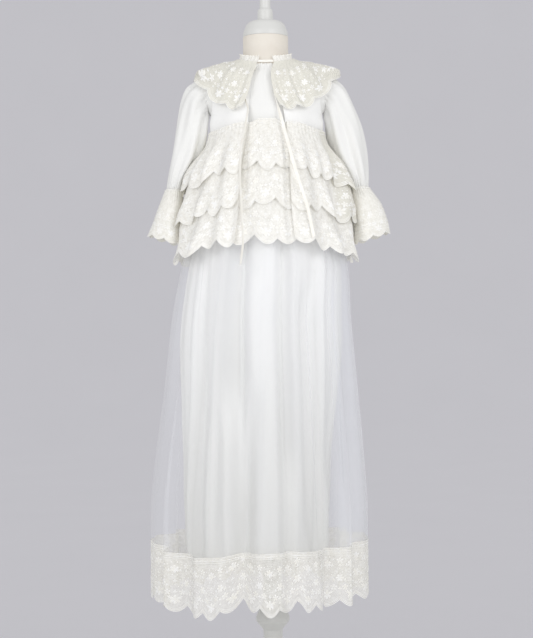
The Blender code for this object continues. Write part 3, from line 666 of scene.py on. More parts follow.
def hem_drop(phi):
    """How much lower than at the sides the hem hangs: most to the left of the front."""
    left = np.maximum(0.0, waves(1, phi + 42)) ** 6
    right = np.maximum(0.0, waves(1, phi - 50)) ** 6
    return 0.013 * left + 0.004 * right


def mark(piece, name, values):
    """Gives each point of a piece a value, for its finish to read."""
    kept = piece.data.attributes.new(name, "FLOAT", "POINT")
    kept.data.foreach_set("value", np.asarray(values, np.float32).ravel())


# Washed silk batiste again, of a slightly warmer white. Its colour is painted lighter high up, where the form
# stands behind it, and darker lower down, as painted shade; in its creases it is painted greyer, as painted
# shade.
lining, tree, shader = cloth_finish("lining_batiste", "#f3f3f1", "#f8f8f6", BATISTE_THREAD, 0.78, 0.05)
place = add(tree, "ShaderNodeTexCoord", {})
height = add(tree, "ShaderNodeSeparateXYZ", {"Vector": place.outputs["UV"]})
painted_shade_by_height = {"Value": height.outputs["Y"], "From Min": -640.0, "From Max": -220.0}
painted_shade_by_height = add(tree, "ShaderNodeMapRange", painted_shade_by_height)
tint = {"Factor": painted_shade_by_height.outputs["Result"], "A": linear("#e8e8e6"), "B": linear("#f9f9f8")}
tint = add(tree, "ShaderNodeMix", tint, data_type="RGBA")
# Painted shade: the lining is painted greyer along its creases.
painted_crease_shade = add(tree, "ShaderNodeAttribute", {}, attribute_name="painted_crease_shade")
tint = {"Factor": painted_crease_shade.outputs["Fac"], "A": tint.outputs["Result"], "B": linear("#c4c4c2")}
tint = add(tree, "ShaderNodeMix", tint, data_type="RGBA")
fill(tree, shader, {"Base Color": tint.outputs["Result"]})

phi = np.linspace(0, 360, 320, endpoint=False)[None, :]
levels = blend(LINING_TOP_Z, SKIRT_HEM_Z - hem_drop(phi) - LINING_OVERLAP, np.linspace(0, 1, 60)[:, None])
inside = LAYER_STEP + 0.0035 * ease((LINING_TOP_Z - levels) / 0.05)
# It hangs as a narrower tube than the organza, so that its sides lie further in, towards the foot.
sideways = np.sin(np.radians(phi))
narrow = (0.028 + 0.006 * sideways) * ease((0.72 - levels) / 0.25) + 0.012 * ease((0.56 - levels) / 0.2)
inside = inside + narrow * sideways**4
# Its own folds are softer than the organza's, and lie behind them.
softer = 0.55 + 0.15 * (0.5 - 0.5 * waves(7, phi)) + 0.8 * fold_share(phi, levels)
inside = inside + read(SKIRT, 4, levels) * softer + crease(phi, levels, 4.0)
points = on_skirt(phi, levels, skirt_ripple(phi, levels) - inside)
piece = shell("skirt_lining", "gown_skirt_lining", points, lining, closed=True)
# The creases' painted shade is shifted round so that it lines up with the organza's creases when both are
# seen from in front.
seen_at = phi - 10 * np.sin(np.radians(2 * phi))
mark(piece, "painted_crease_shade", 0.17 * (crease(seen_at, levels, 1.5) / 0.017) ** 2)
as_sheet(points, 1.0)

# Silk organza: a crisp, sheer plain weave of hard-twisted threads. It lets through most of
# what is behind it and whitens it, with a cool gloss along the folds. Its threads are 0.25 mm
# apart, drawn at 0.36 mm.
organza, tree, shader = cloth_finish("silk_organza", "#f2f4fb", "#f8f9ff", 0.355307, 0.5, 0.15)
fill(tree, tree.nodes["Bump"], {"Strength": 0.05})
place = add(tree, "ShaderNodeTexCoord", {})
long = add(tree, "ShaderNodeMapping", {"Vector": place.outputs["UV"], "Scale": (0.03, 0.003, 1.0)})
streak = add(tree, "ShaderNodeTexNoise", {"Vector": long.outputs["Vector"], "Scale": 1.0, "Detail": 0.0})
sheer = {"Value": streak.outputs["Fac"], "From Min": 0.3, "From Max": 0.7, "To Min": 0.14, "To Max": 0.20}
sheer = add(tree, "ShaderNodeMapRange", sheer)
# The higher up, the closer it is gathered and the less it lets through.
height = add(tree, "ShaderNodeSeparateXYZ", {"Vector": place.outputs["UV"]})
close = {"Value": height.outputs["Y"], "From Min": -620.0, "From Max": -300.0}
close = add(tree, "ShaderNodeMapRange", close | {"To Min": -0.02, "To Max": 0.045})
layers = add(tree, "ShaderNodeAttribute", {}, attribute_name="layers")
film = {0: sheer.outputs["Result"], 1: close.outputs["Result"]}
film = add(tree, "ShaderNodeMath", film, operation="ADD")
film = {0: film.outputs["Value"], 1: layers.outputs["Fac"]}
film = add(tree, "ShaderNodeMath", film, operation="ADD")
fill(tree, shader, {"Alpha": film.outputs["Value"]})

SIDE_SEAM = 0.12  # half of what is left open for each side seam, in degrees
for name, node, first in (
    ("skirt_front_panel", "gown_skirt_front", -90 + SIDE_SEAM),
    ("skirt_back_panel", "gown_skirt_back", 90 + SIDE_SEAM),
):
    phi = np.linspace(first, first + 180 - 2 * SIDE_SEAM, 480)[None, :]
    foot_z = SKIRT_HEM_Z + SEAM_GAP
    levels = np.linspace(WAIST_Z, foot_z, 120)[:, None]
    z = levels - hem_drop(phi) * (WAIST_Z - levels) / (WAIST_Z - foot_z)
    points = on_skirt(phi, z, skirt_ripple(phi, z) - skirt_fold(phi, z))
    piece = shell(name, node, points, organza)
    # More of its fullness is drawn to its right side than to its left.
    mark(piece, "layers", 0.15 * ease((np.sin(np.radians(phi)) - 0.72) / 0.04) + 0 * levels)
    as_sheet(points, 1.3)

# ---------------------------------------------------------------- the hem's lace
# One wide strip of machine-embroidered tulle, joined round: sprays of little flowers worked in
# rayon thread on a soft ivory net, with a corded, scalloped edge. Three cords run along its sewn edge.

HEM_SCALLOPS, HEM_SCALLOP_DEPTH = 36, 0.012
# The net's rows, and its columns and the points of its cords to each scallop
LACE_ROWS, LACE_COLUMNS, CORD_POINTS = 29, 20, 24

# Embroidered tulle: a hexagonal cotton net, starched a little. A hazy ivory veil, more open in
# places. Its holes are 1 mm across, drawn at 2.6 mm.
tulle, tree, shader = new_finish("ivory_tulle")
place = add(tree, "ShaderNodeTexCoord", {})
cell_at = add(
    tree,
    "ShaderNodeTexVoronoi",
    {"Vector": place.outputs["UV"], "Scale": 1 / 2.6, "Randomness": 0.3},
    feature="DISTANCE_TO_EDGE",
)
thread_at = {"Value": cell_at.outputs["Distance"], "From Min": 0.05, "From Max": 0.22}
thread_at = add(tree, "ShaderNodeMapRange", thread_at | {"To Min": 1.0, "To Max": 0.0})
cloud = add(tree, "ShaderNodeTexNoise", {"Vector": place.outputs["UV"], "Scale": 0.11, "Detail": 3.0})
film = {"Value": cloud.outputs["Fac"], "From Min": 0.3, "From Max": 0.7, "To Min": 0.66, "To Max": 0.84}
film = add(tree, "ShaderNodeMapRange", film)
cover = {0: thread_at.outputs["Result"], 1: 0.25, 2: film.outputs["Result"]}
cover = add(tree, "ShaderNodeMath", cover, operation="MULTIPLY_ADD")
tint = add(tree, "ShaderNodeValToRGB", {"Fac": cloud.outputs["Fac"]})
tint.color_ramp.elements[0].position, tint.color_ramp.elements[1].position = 0.3, 0.7
tint.color_ramp.elements[0].color = linear("#f8f6f0")
tint.color_ramp.elements[1].color = linear("#fcfbf8")
# Where the net is gathered or doubled it is closer. Over 0.5 its colour is also painted darker, first greyer
# and then tan, as painted shade: on the collar, and on the tiers shut in behind the cuffs.
layers = add(tree, "ShaderNodeAttribute", {}, attribute_name="layers")
cover = {0: layers.outputs["Fac"], 1: 0.12, 2: cover.outputs["Value"]}
cover = add(tree, "ShaderNodeMath", cover, operation="MULTIPLY_ADD")
shade = tint.outputs["Color"]
for fewer, more, colour in ((0.5, 0.68, "#e8e6dd"), (0.68, 0.9, "#e6d8c0")):
    deep = {"Value": layers.outputs["Fac"], "From Min": fewer, "From Max": more}
    deep = add(tree, "ShaderNodeMapRange", deep)
    painted_shade_mix = {"Factor": deep.outputs["Result"], "A": shade, "B": linear(colour)}
    shade = add(tree, "ShaderNodeMix", painted_shade_mix, data_type="RGBA").outputs["Result"]
bump = {"Height": thread_at.outputs["Result"], "Strength": 0.3, "Distance": 0.0003}
bump = add(tree, "ShaderNodeBump", bump)
look = {"Base Color": shade, "Alpha": cover.outputs["Value"], "Normal": bump.outputs["Normal"]}
fill(tree, shader, look | {"Roughness": 0.8, "Sheen Weight": 0.1})

# Rayon embroidery thread in satin stitch: parallel glossy threads laid side by side over the net.
# Bright, creamy white, with small highlights. Stitches are 0.3 mm apart, drawn at 0.9 mm.
rayon, tree, shader = new_finish("rayon_embroidery")
place = add(tree, "ShaderNodeTexCoord", {})
stitches = {"Vector": place.outputs["UV"], "Scale": WAVE / 0.88745, "Distortion": 1.0}
stitches = add(tree, "ShaderNodeTexWave", stitches)
cloud = add(tree, "ShaderNodeTexNoise", {"Vector": place.outputs["Object"], "Scale": 120.0, "Detail": 2.0})
tint = add(tree, "ShaderNodeValToRGB", {"Fac": cloud.outputs["Fac"]})
tint.color_ramp.elements[0].position, tint.color_ramp.elements[1].position = 0.35, 0.65
tint.color_ramp.elements[0].color = linear("#fbf9f3")
tint.color_ramp.elements[1].color = linear("#ffffff")
bump = add(tree, "ShaderNodeBump", {"Height": stitches.outputs["Fac"], "Strength": 0.35, "Distance": 0.0003})
look = {"Base Color": tint.outputs["Color"], "Normal": bump.outputs["Normal"]}
fill(tree, shader, look | {"Roughness": 0.38, "Sheen Weight": 0.1})

# Half outlines of unit length, along and across, from the base to the tip.
PETAL = ((0.10, 0.0), (0.35, 0.20), (0.70, 0.29), (0.95, 0.17), (1.0, 0.0))
LEAF = ((0.0, 0.0), (0.30, 0.19), (0.65, 0.17), (1.0, 0.0))
# A bud's whole outline, round its middle.
BUD = ((0.5, 0.0), (0.25, 0.43), (-0.25, 0.43), (-0.5, 0.0), (-0.25, -0.43), (0.25, -0.43))


def mirrored(half):
    """The whole outline of a shape that is the same on both sides."""
    return (*half, *[(along, -across) for along, across in half[-2:0:-1]])


def stitched(shape, s, t, size, turn=0.0, rise=0.75):
    """One satin-stitched shape: its outline on the net and its raised middle, in millimetres.
    s is the place along the lace and t the height above the scallops' tips."""
    turn = np.radians(turn)
    along, across = np.array(shape).T * size
    rim_s = s + along * np.cos(turn) - across * np.sin(turn)
    rim_t = t + along * np.sin(turn) + across * np.cos(turn)
    n = len(rim_s)
    points = np.column_stack([[*rim_s, rim_s.mean()], [*rim_t, rim_t.mean()], [0.12] * n + [rise]])
    return points, np.array([[i, (i + 1) % n, n] for i in range(n)])


def flower(s, t, size, petals, turn=90.0):
    """A flat open flower: petals round a small raised middle."""
    made = [stitched(mirrored(PETAL), s, t, size, turn + 360 * k / petals) for k in range(petals)]
    return [*made, stitched(BUD, s, t, size * 0.42, 0.0, 1.1)]


def sprig(s, t, size, turn):
    """Three leaves from one point, the side ones shorter."""
    leaves = ((1.0, 0), (0.8, 52), (0.8, -52))
    return [stitched(mirrored(LEAF), s, t, size * share, turn + off) for share, off in leaves]


def buds(size, squeeze, *places):
    """Small buds at these places along and up the lace, drawn together by that much."""
    return [stitched(BUD, s * squeeze, t, size) for s, t in places]


def spray(width, band):
    """What is worked on one scallop of that width, and over the notch on its right, up to that
    height. It is charted for a scallop 46 mm wide, in millimetres."""
    w = width / 46
    middle = flower(0, 21, 8.2, 6) + flower(-13 * w, 34, 5.6, 5) + flower(13 * w, 34, 5.6, 5)
    middle += sprig(-7.5 * w, 25, 5.5, 160) + sprig(7.5 * w, 25, 5.5, 20) + sprig(0, 33, 6.0, 90)
    middle += buds(2.2, w, (-6, 44), (6, 44), (-14, 45), (14, 45), (0, 47))
    between = sprig(0, 30, 5.5, 90) + sprig(0, 22.5, 4.0, 90)
    if band > 55:
        middle += sprig(0, 52, 5.0, 90) + buds(2.4, w, (-9, 56), (9, 56), (-4, 64), (4, 64))
        between += flower(0, 50, 6.6, 6, 60) + sprig(-8 * w, 47, 5.0, 200) + sprig(8 * w, 47, 5.0, -20)
        between += buds(2.2, w, (-5, 60), (5, 60), (0, 66))
    if band > 80:
        middle += flower(0, 74, 7.0, 6) + sprig(-8 * w, 72, 5.0, 190) + sprig(8 * w, 72, 5.0, -10)
        middle += buds(2.2, w, (-12, 82), (12, 82), (-5, 86), (5, 86))
        between += flower(0, 80, 5.4, 5) + sprig(0, 70, 5.0, 90)
    return middle, between


def scallop(share, lobes):
    """0 at the notch between two lobes and 1 at a lobe's tip."""
    return np.abs(np.sin(np.pi * lobes * share))


def cord_on_net(run, width, rise):
    """A cord laid along a run of flat places: three rows of points with the middle one raised."""
    ahead = np.gradient(run, axis=0)
    side = np.column_stack([-ahead[:, 1], ahead[:, 0]]) / np.linalg.norm(ahead, axis=1)[:, None] * width / 2
    rows = np.stack([run - side, run, run + side])
    lift = np.broadcast_to(np.array([0.1, rise, 0.1])[:, None, None], (3, len(run), 1))
    n = len(run)
    faces = []
    for first in (0, n):
        a = np.arange(first, first + n - 1)
        faces += [np.column_stack([a, a + 1, a + n]), np.column_stack([a + 1, a + n + 1, a + n])]
    return np.concatenate([rows, lift], axis=-1).reshape(-1, 3), np.concatenate(faces)


# millimetres above the scalloped edge, width, rise
EDGE_CORDS = ((0.4, 1.1, 0.5), (3.4, 0.7, 0.3), (5.8, 0.7, 0.3))


def worked_on(long, tall_at, lobes, depth, band, closed, heading):
    """All that is worked on a lace. Its points are the share along the lace, the height above
    the scallops' tips and the rise. Their flat places and the triangles come with them."""
    points, flat, faces, count = [], [], [], 0
    middle, between = spray(long / lobes, band)
    for lobe in range(lobes):
        for shapes, shift in ((middle, 0.5), (between, 1.0)):
            # An open lace ends at its last lobe, with no notch past it.
            if shift == 1.0 and lobe == lobes - 1 and not closed:
                continue
            for shape, order in shapes:
                at = (lobe + shift) / lobes + shape[:, 0] / long
                points.append(np.column_stack([at % 1.0 if closed else at, shape[:, 1:]]))
                flat.append(np.column_stack([at * long, shape[:, 1]]))
                faces.append(order + count)
                count += len(shape)
    # The cords that follow the scalloped edge, and straight ones near the sewn edge.
    fine = np.linspace(0, 1, lobes * CORD_POINTS + 1)
    edge = depth * 1000 * (1 - scallop(fine, lobes))
    lines = [(edge + above, width, rise) for above, width, rise in EDGE_CORDS]
    lines += [(tall_at(fine) - below, width, rise) for below, width, rise in heading]
    for t, width, rise in lines:
        laid, order = cord_on_net(np.column_stack([fine * long, t]), width, rise)
        points.append(np.column_stack([np.clip(laid[:, 0] / long, 0, 1), laid[:, 1:]]))
        flat.append(laid[:, :2])
        faces.append(order + count)
        count += len(laid)
    return np.concatenate(points), np.concatenate(flat), np.concatenate(faces)


def lace(
    name,
    node,
    surface,
    lobes,
    depth,
    fullness,
    closed=False,
    flip=False,
    heading=(),
    band=None,
    layers=None,
):
    """A scalloped strip of embroidered tulle. surface(u, v) is where it lies: u runs along it and
    v from its sewn edge to the line of its scallops' tips. The embroidery lies on its outer side.
    heading lists straight cords: mm below the sewn edge, width, rise. The embroidery reaches up
    to band mm. layers is how doubled the net is: a number, or a function of its points; over 0.5 its finish
    also paints the net darker, as painted shade."""
    u = np.linspace(0, 1, lobes * LACE_COLUMNS + 1)
    lying = surface(u[None, :], np.linspace(0, 1, 25)[:, None])
    tall = np.linalg.norm(np.diff(lying, axis=0), axis=-1).sum(axis=0) * 1000
    # Its flat length is taken five sixths of the way down.
    long = np.linalg.norm(np.diff(lying[20], axis=0), axis=-1).sum() * 1000
    edge = 1 - depth * 1000 * (1 - scallop(u, lobes)) / tall
    v = np.linspace(0, 1, LACE_ROWS)[:, None] * edge[None, :]
    points = surface(u[None, :] + 0 * v, v)
    points = points[:, :-1] if closed else points
    net = shell(name, node, points, tulle, closed=closed, flip=flip)
    if layers is not None:
        mark(net, "layers", layers(points) if callable(layers) else np.full(points.shape[:2], layers))

    def tall_at(at):
        return np.interp(at, u, tall)

    def raised(at, t, rise):
        """Where a point of the embroidery lies, from its place on the flat lace."""
        v = 1 - t / tall_at(at)
        step = 1e-3
        along = surface(at + step, v) - surface(at - step, v)
        below = surface(at, v + step) - surface(at, v - step)
        out = np.cross(below, along) * (-1 if flip else 1)
        out /= np.maximum(np.linalg.norm(out, axis=-1), 1e-12)[:, None]
        return surface(at, v) + out * rise[:, None] / 1000

    worked, flat, faces = worked_on(long, tall_at, lobes, depth, band or tall.min(), closed, heading)
    faces = faces[:, ::-1] if flip else faces
    flat, name = flat[faces.ravel()], f"{name}_stitching"
    stitching = new_piece(name, raised(*worked.T), faces, flat, rayon)
    as_sheet(points, fullness)


# phi, half width, how much lower the lace's foot hangs where the folds swing in and out
HEM_SWAY = (
    (-27, 6, 0.004),
    (-11, 10, -0.013),
    (7, 8, 0.006),
    (21, 4, -0.009),
    (150, 9, -0.008),
    (196, 8, -0.008),
)


def hem_surface(u, v):
    phi = 360 * u
    z = blend(SKIRT_HEM_Z - SEAM_GAP, LACE_HEM_Z, v) - hem_drop(phi)
    for at, half_width, lower in HEM_SWAY:
        z = z - lower * hump(apart(phi, at) / half_width) * v
    return on_skirt(phi, z, skirt_ripple(phi, z) - skirt_fold(phi, z))


lace(
    "hem_lace",
    "gown_hem_lace",
    hem_surface,
    HEM_SCALLOPS,
    HEM_SCALLOP_DEPTH,
    1.0,
    closed=True,
    heading=((1.0, 1.6, 1.2), (6.0, 1.4, 1.0), (9.0, 0.9, 0.6)),
    layers=-1.8,
)

# ---------------------------------------------------------------- the lace tiers
# Six short strips of the same tulle, gathered into the waist in two sets of three: one set goes
# round the jacket, with its ends at the opening, and one fills the opening, on the gown.

TIER_TOP_Z = 1.0743
JACKET_SCALLOPS, GOWN_SCALLOPS = 25, 3
TIER_SCALLOP_DEPTH = 0.013
TIER_CORDS = ((2.0, 1.3, 1.0), (8.0, 1.1, 0.8))  # on the uppermost of each set
JACKET_OPENING, GOWN_TIER_REACH = 20.0, 24.0  # degrees to either side of the front
# name, out at the waist, out below, foot at the front, foot at the sides and the back, phase
JACKET_TIERS = (
    ("jacket_tier_3", 0.0076, 0.0076, 0.868, 0.838, 0.4),
    ("jacket_tier_2", 0.0094, 0.0106, 0.933, 0.900, 2.1),
    ("jacket_tier_1", 0.0112, 0.0136, 0.999, 0.962, 3.9),
)
GOWN_TIERS = (
    ("gown_tier_3", 0.0020, 0.0030, 0.866, 0.838, 0.9),
    ("gown_tier_2", 0.0038, 0.0052, 0.931, 0.900, 2.8),
    ("gown_tier_1", 0.0056, 0.0074, 0.997, 0.962, 4.4),
)


def from_front(phi):
    return apart(phi, 0)


def at_side(phi):
    """1 where the sleeves hang at the sides, and 0 at the front and back."""
    return np.maximum(0.0, 1 - ((from_front(phi) - 98) / 40) ** 2) ** 2


def flute(phi, phase):
    """The uneven flutes of gathered net, about one every 18 degrees: from -1 to 1."""
    return waves(20, phi, 1.6 * np.sin(np.radians(3 * phi) + phase) + phase)


def jacket_gathers(phi):
    gathers = 0.5 + 0.12 * waves(8, phi, 1.1) + 0.38 * flute(phi, 0.4)
    return gathers * (1 - 0.5 * at_side(phi))


def gown_gathers(phi):
    return (0.5 + 0.5 * waves(22, phi, 0.6)) * ease((18 - np.abs(phi)) / 6)


def jacket_heading(phi):
    """The jacket's waist seam, which lies a little lower at the sides and the back."""
    return TIER_TOP_Z - 0.010 * ease((from_front(phi) - 24) / 40)


def gown_heading(phi):
    return TIER_TOP_Z - 0.0008 + 0.0065 * ease((17 - np.abs(phi)) / 9)


def tier_surface(tiers, number, first, last, gathers, depth, top):
    """Where a tier lies: from the first phi to the last, gathered that deep, and free of the
    tiers outside it below their edges."""
    name, top_out, out, front_z, side_z, phase = tiers[number]
    above_front_z, above_side_z = tiers[number + 1][3:5] if number + 1 < len(tiers) else (1.060, 1.060)

    def surface(u, v):
        phi = blend(first, last, u)
        round_side = np.where(waves(1, phi) > 0, np.sin(np.radians(phi)) ** 2, 1.0)
        uneven = 0.004 * waves(11, phi, 2 * phase)
        z = blend(top(phi), blend(front_z, side_z, round_side) + uneven - TIER_SCALLOP_DEPTH / 2, v)
        grown = ease((TIER_TOP_Z - z) / 0.09)
        free_z = blend(above_front_z, above_side_z, round_side) - TIER_SCALLOP_DEPTH / 2
        free = 0.0035 + 0.0045 * ease((from_front(phi) - 35) / 15)
        free = free * ease((free_z - z) / 0.05) * (0.5 + 0.5 * flute(phi, phase))
        # The sides are pressed out by what hangs behind them, as far as the cuffs.
        full = 0.015 * ease(1.6 - np.abs(from_front(phi) - 95) / 25)
        full = full * ease((1.04 - z) / 0.06) * ease((z - 0.85) / 0.05)
        full = full + 0.009 * ease(1.5 - np.abs(phi - 88) / 18) * ease(1.3 - np.abs(z - 0.945) / 0.035)
        pleats = 0.0005 * waves(83, phi) * ease((z - TIER_TOP_Z + 0.05) / 0.05)
        out_here = blend(top_out, out, grown) + depth * grown * gathers(phi)
        return on_skirt(phi, z, out_here + free + full + pleats)

    return surface


def closer_and_shaded_beside_cuffs(points):
    """Closest where the tiers are shut in behind the cuffs, at the sides. There the net's colour is also
    painted darker, as painted shade.
    """
    x, y, z = points[..., 0], points[..., 1], points[..., 2]
    phi = np.degrees(np.arctan2(x, -y))
    left = 0.62 * ease(1.5 - np.abs(phi + 92) / 18)
    right = 0.66 * ease(1.4 - np.abs(phi - 76) / 16) * ease((z - 0.880) / 0.02)
    return (left + right) * ease((z - 0.855) / 0.03)


def tier_set(tiers, first, last, gathers, depth, top, scallops, layers=None):
    """Three tiers of lace from the lowest and innermost to the uppermost."""
    for number, (name, *_) in enumerate(tiers):
        uppermost = number == len(tiers) - 1
        lace(
            f"{name}_lace",
            name,
            tier_surface(tiers, number, first, last, gathers, depth, top),
            scallops,
            TIER_SCALLOP_DEPTH,
            1.2,
            heading=TIER_CORDS if uppermost else (),
            band=70 if uppermost else 60,
            layers=layers,
        )


tier_set(
    JACKET_TIERS,
    JACKET_OPENING,
    360 - JACKET_OPENING,
    jacket_gathers,
    0.0095,
    jacket_heading,
    JACKET_SCALLOPS,
    closer_and_shaded_beside_cuffs,
)
tier_set(
    GOWN_TIERS,
    -GOWN_TIER_REACH,
    GOWN_TIER_REACH,
    gown_gathers,
    0.0045,
    gown_heading,
    GOWN_SCALLOPS,
)

# ---------------------------------------------------------------- the jacket's body
# Two fronts and a back of silk batiste, seamed at the shoulders and sides. The fronts are narrow
# hemmed down their edges and leave the middle of the gown open.

WAIST_SEAM = 0.0012  # how far the panels' feet are above the tiers' heading
# z, how far the jacket stands off the form
JACKET = ((1.075, 0.0080), (1.100, 0.0076), (1.130, 0.0062), (1.160, 0.0056), (1.200, 0.0050))


def jacket_out(z):
    return read(JACKET, 1, z)


def left_front(shares):
    return None, -blend(19.5, 14.0, ease(shares * 1.3))


def right_front(shares):
    return blend(19.5, 13.0, ease(shares * 1.8)), None


def body_creases(phi, z):
    """Slack cloth: it stands off a little under the arms, in shallow drags that slant to the
    waist, and is gathered less at the neck than the gown."""
    away = from_front(phi)
    slack = 0.005 * ease((1.100 - z) / 0.02) * ease((away - 50) / 30) * ease((145 - away) / 25)
    drags = 0.0008 * (waves(9, away, (z - 1.07) * 60) - 1) * ease((away - 22) / 20)
    return slack + drags + 0.3 * neck_gathers(phi, z)


def waist_seam(phi):
    """The foot of the panels, tucked in behind the lace at the front and the back."""
    tucked_in = ease((56 - from_front(phi)) / 12) + ease((from_front(phi) - 132) / 12)
    return jacket_heading(phi) + WAIST_SEAM - 0.0045 * tucked_in


# The same silk batiste, over the gown's: two thicknesses of it look whiter than one. It is also painted
# whiter than the sleeves' batiste, as painted light against the shade of the collar and the tiers.
lightened_doubled_batiste, *_ = cloth_finish("lightened_doubled_batiste", "#f9f9f9", "#fefefe", BATISTE_THREAD, 0.72, 0.08)

for name, node, edges, turn_back, columns, over in (
    ("jacket_left_front", "jacket_front_left", left_front, False, 90, "gown_front_panel"),
    ("jacket_right_front", "jacket_front_right", right_front, False, 90, "gown_front_panel"),
    ("jacket_back_panel", "jacket_back", whole_panel, True, 160, "gown_back_panel"),
):
    foot_z = TIER_TOP_Z + WAIST_SEAM
    points = panel(jacket_out, foot_z, edges, turn_back, columns, body_creases, sag=waist_seam)
    piece = shell(name, node, points, lightened_doubled_batiste, flip=turn_back)
    if not turn_back:
        # How far each point is from the hemmed front edge, which the cloth's stitching reads.
        steps = np.linalg.norm(np.diff(points, axis=1), axis=-1) * 1000
        from_edge = np.hstack([np.zeros((len(points), 1)), np.cumsum(steps, axis=1)])
        mark(piece, "edge_mm", from_edge[:, -1:] - from_edge if edges is left_front else from_edge)
    as_sheet(points, 1.05)

# ---------------------------------------------------------------- the sleeves
# Full three-quarter sleeves of the same batiste, each one panel closed under the arm, gathered
# into the armhole and into the wrist, and hanging empty in long soft folds.

SLEEVE_ROWS, SLEEVE_COLUMNS = 110, 144
# The two rings at the armhole: how much deeper than it, how much higher, and out from the form.
# The first is the sewn edge, tucked in under the jacket.
SLEEVE_HEAD = ((1.20, 0.008, 0.0046), (0.99, 0.0, 0.0094))
# outer x right, outer x left, outer z, inner x, inner z, half depth, centre y, gathers
SLEEVE = (
    (0.1300, 0.1300, 1.1580, 0.1010, 1.0930, 0.0375, 0.002, 0.0012),
    (0.1450, 0.1460, 1.1460, 0.1030, 1.0800, 0.0410, 0.004, 0.0016),
    (0.1600, 0.1575, 1.1190, 0.1045, 1.0640, 0.0425, 0.007, 0.0016),
    (0.1755, 0.1665, 1.0790, 0.1080, 1.0430, 0.0425, 0.010, 0.0020),
    (0.1835, 0.1740, 1.0350, 0.1200, 1.0110, 0.0400, 0.012, 0.0022),
    (0.1855, 0.1810, 0.9940, 0.1395, 0.9840, 0.0350, 0.013, 0.0018),
    (0.1840, 0.1840, 0.9640, 0.1520, 0.9630, 0.0260, 0.013, 0.0008),
)


def through(rows, count):
    """Rows of points on smooth curves through the given ones, first row to last."""
    padded = np.concatenate([2 * rows[:1] - rows[1:2], rows, 2 * rows[-1:] - rows[-2:-1]])
    at = np.linspace(0, len(rows) - 1, count)
    i = np.minimum(at.astype(int), len(rows) - 2)
    t = (at - i).reshape(-1, *[1] * (rows.ndim - 1))
    a, b, c, d = (padded[i + k] for k in range(4))
    return b + 0.5 * t * (c - a + t * (2 * a - 5 * b + 4 * c - d + t * (3 * (b - c) + d - a)))


def head_ring(angle, painted_shade_mix, higher, out):
    """A ring round the armhole, set that far out from the form."""
    z = ARMHOLE_Z + ARMHOLE_HALF_HEIGHT * np.cos(angle) + higher * np.clip(np.cos(angle), -1, 0.4)
    y = painted_shade_mix * ARMHOLE_HALF_DEPTH * np.sin(angle)
    x = read(FORM, 1, z) * np.sqrt(np.maximum(0.05, 1 - (y / read(FORM, 2, z)) ** 2))
    ring = np.stack([x, y, z], axis=-1)
    for _ in range(6):
        outward, distance = form_outward(ring)
        ring[:, 0] += (out - distance) / np.maximum(0.3, outward[:, 0])
    return ring


def arm_ring(angle, row, outer, side):
    """A ring round the empty sleeve, from a row of its table."""
    inner_x, inner_z, half_depth, centre_y, gathers = row[3:]
    middle = np.array([(row[outer] + inner_x) / 2, centre_y, (row[2] + inner_z) / 2])
    arm = np.array([(row[outer] - inner_x) / 2, 0.0, (row[2] - inner_z) / 2])
    size = max(np.linalg.norm(arm), half_depth)
    grow = 1 + gathers * (np.cos(6 * angle + 0.6 * side) - 1) / size
    across = arm * np.cos(angle)[:, None] + np.array([0.0, half_depth, 0.0]) * np.sin(angle)[:, None]
    return middle + across * grow[:, None]


def sleeve_creases(angle, fall, side):
    """How far the cloth stands out: puckers at the head, gathers at the wrist, and long folds
    between them. fall is 0 at the armhole and 1 at the cuff."""
    pucker = 0.5 * np.cos(26 * angle) + 0.5 * np.cos(17 * angle + 1) + 0.5
    pucker = pucker * np.exp(-((np.maximum(0.0, fall - 0.09) / 0.10) ** 1.5)) * ease((fall - 0.10) / 0.05)
    gather = 0.5 * np.cos(29 * angle) + 0.5 * np.cos(19 * angle + 2) - 1
    gather = gather * np.exp(-(((1 - fall) / 0.12) ** 1.4))
    hang = np.cos(5 * angle + 5 * fall + side) + 0.6 * np.cos(9 * angle - 4 * fall + 2) - 1.6
    hang = hang * np.sin(np.pi * fall)
    return 0.0020 * pucker + 0.0016 * gather + 0.0026 * hang


for name, node, side, outer, rests_on in (
    ("right_sleeve", "sleeve_right", 1, 0, "jacket_right_front"),
    ("left_sleeve", "sleeve_left", -1, 1, "jacket_left_front"),
):
    angle = np.linspace(0, 2 * np.pi, SLEEVE_COLUMNS, endpoint=False)
    rings = [head_ring(angle, *row) for row in SLEEVE_HEAD]
    rings += [arm_ring(angle, row, outer, side) for row in SLEEVE]
    points = through(np.array(rings), SLEEVE_ROWS)
    radial = points - points.mean(axis=1, keepdims=True)
    radial /= np.linalg.norm(radial, axis=-1)[..., None]
    fall = np.linspace(0, 1, SLEEVE_ROWS)[:, None]
    points = points + radial * sleeve_creases(angle, fall, side)[..., None]
    points[..., 0] *= side
    piece = shell(name, node, points, batiste, closed=True, flip=side < 0)
    as_sheet(points, 1.2)

# ---------------------------------------------------------------- the cuffs
# A flounce of the embroidered tulle on each wrist, gathered on at the seam and flaring to eight
# scallops. It hangs open.

CUFF_LOBES, CUFF_SCALLOP_DEPTH = 8, 0.008
CUFF_CENTRE_Y = 0.013
SQUARENESS = 2.8  # 2 is an ellipse
# outer x right, outer x left, outer z, inner x, inner z, half depth
CUFF = (
    (0.1845, 0.1845, 0.9630, 0.1520, 0.9620, 0.0265),
    (0.2060, 0.1970, 0.9330, 0.1530, 0.9250, 0.0350),
    (0.2165, 0.2085, 0.9020, 0.1540, 0.8900, 0.0420),
    (0.2205, 0.2180, 0.8810, 0.1545, 0.8610, 0.0460),
)


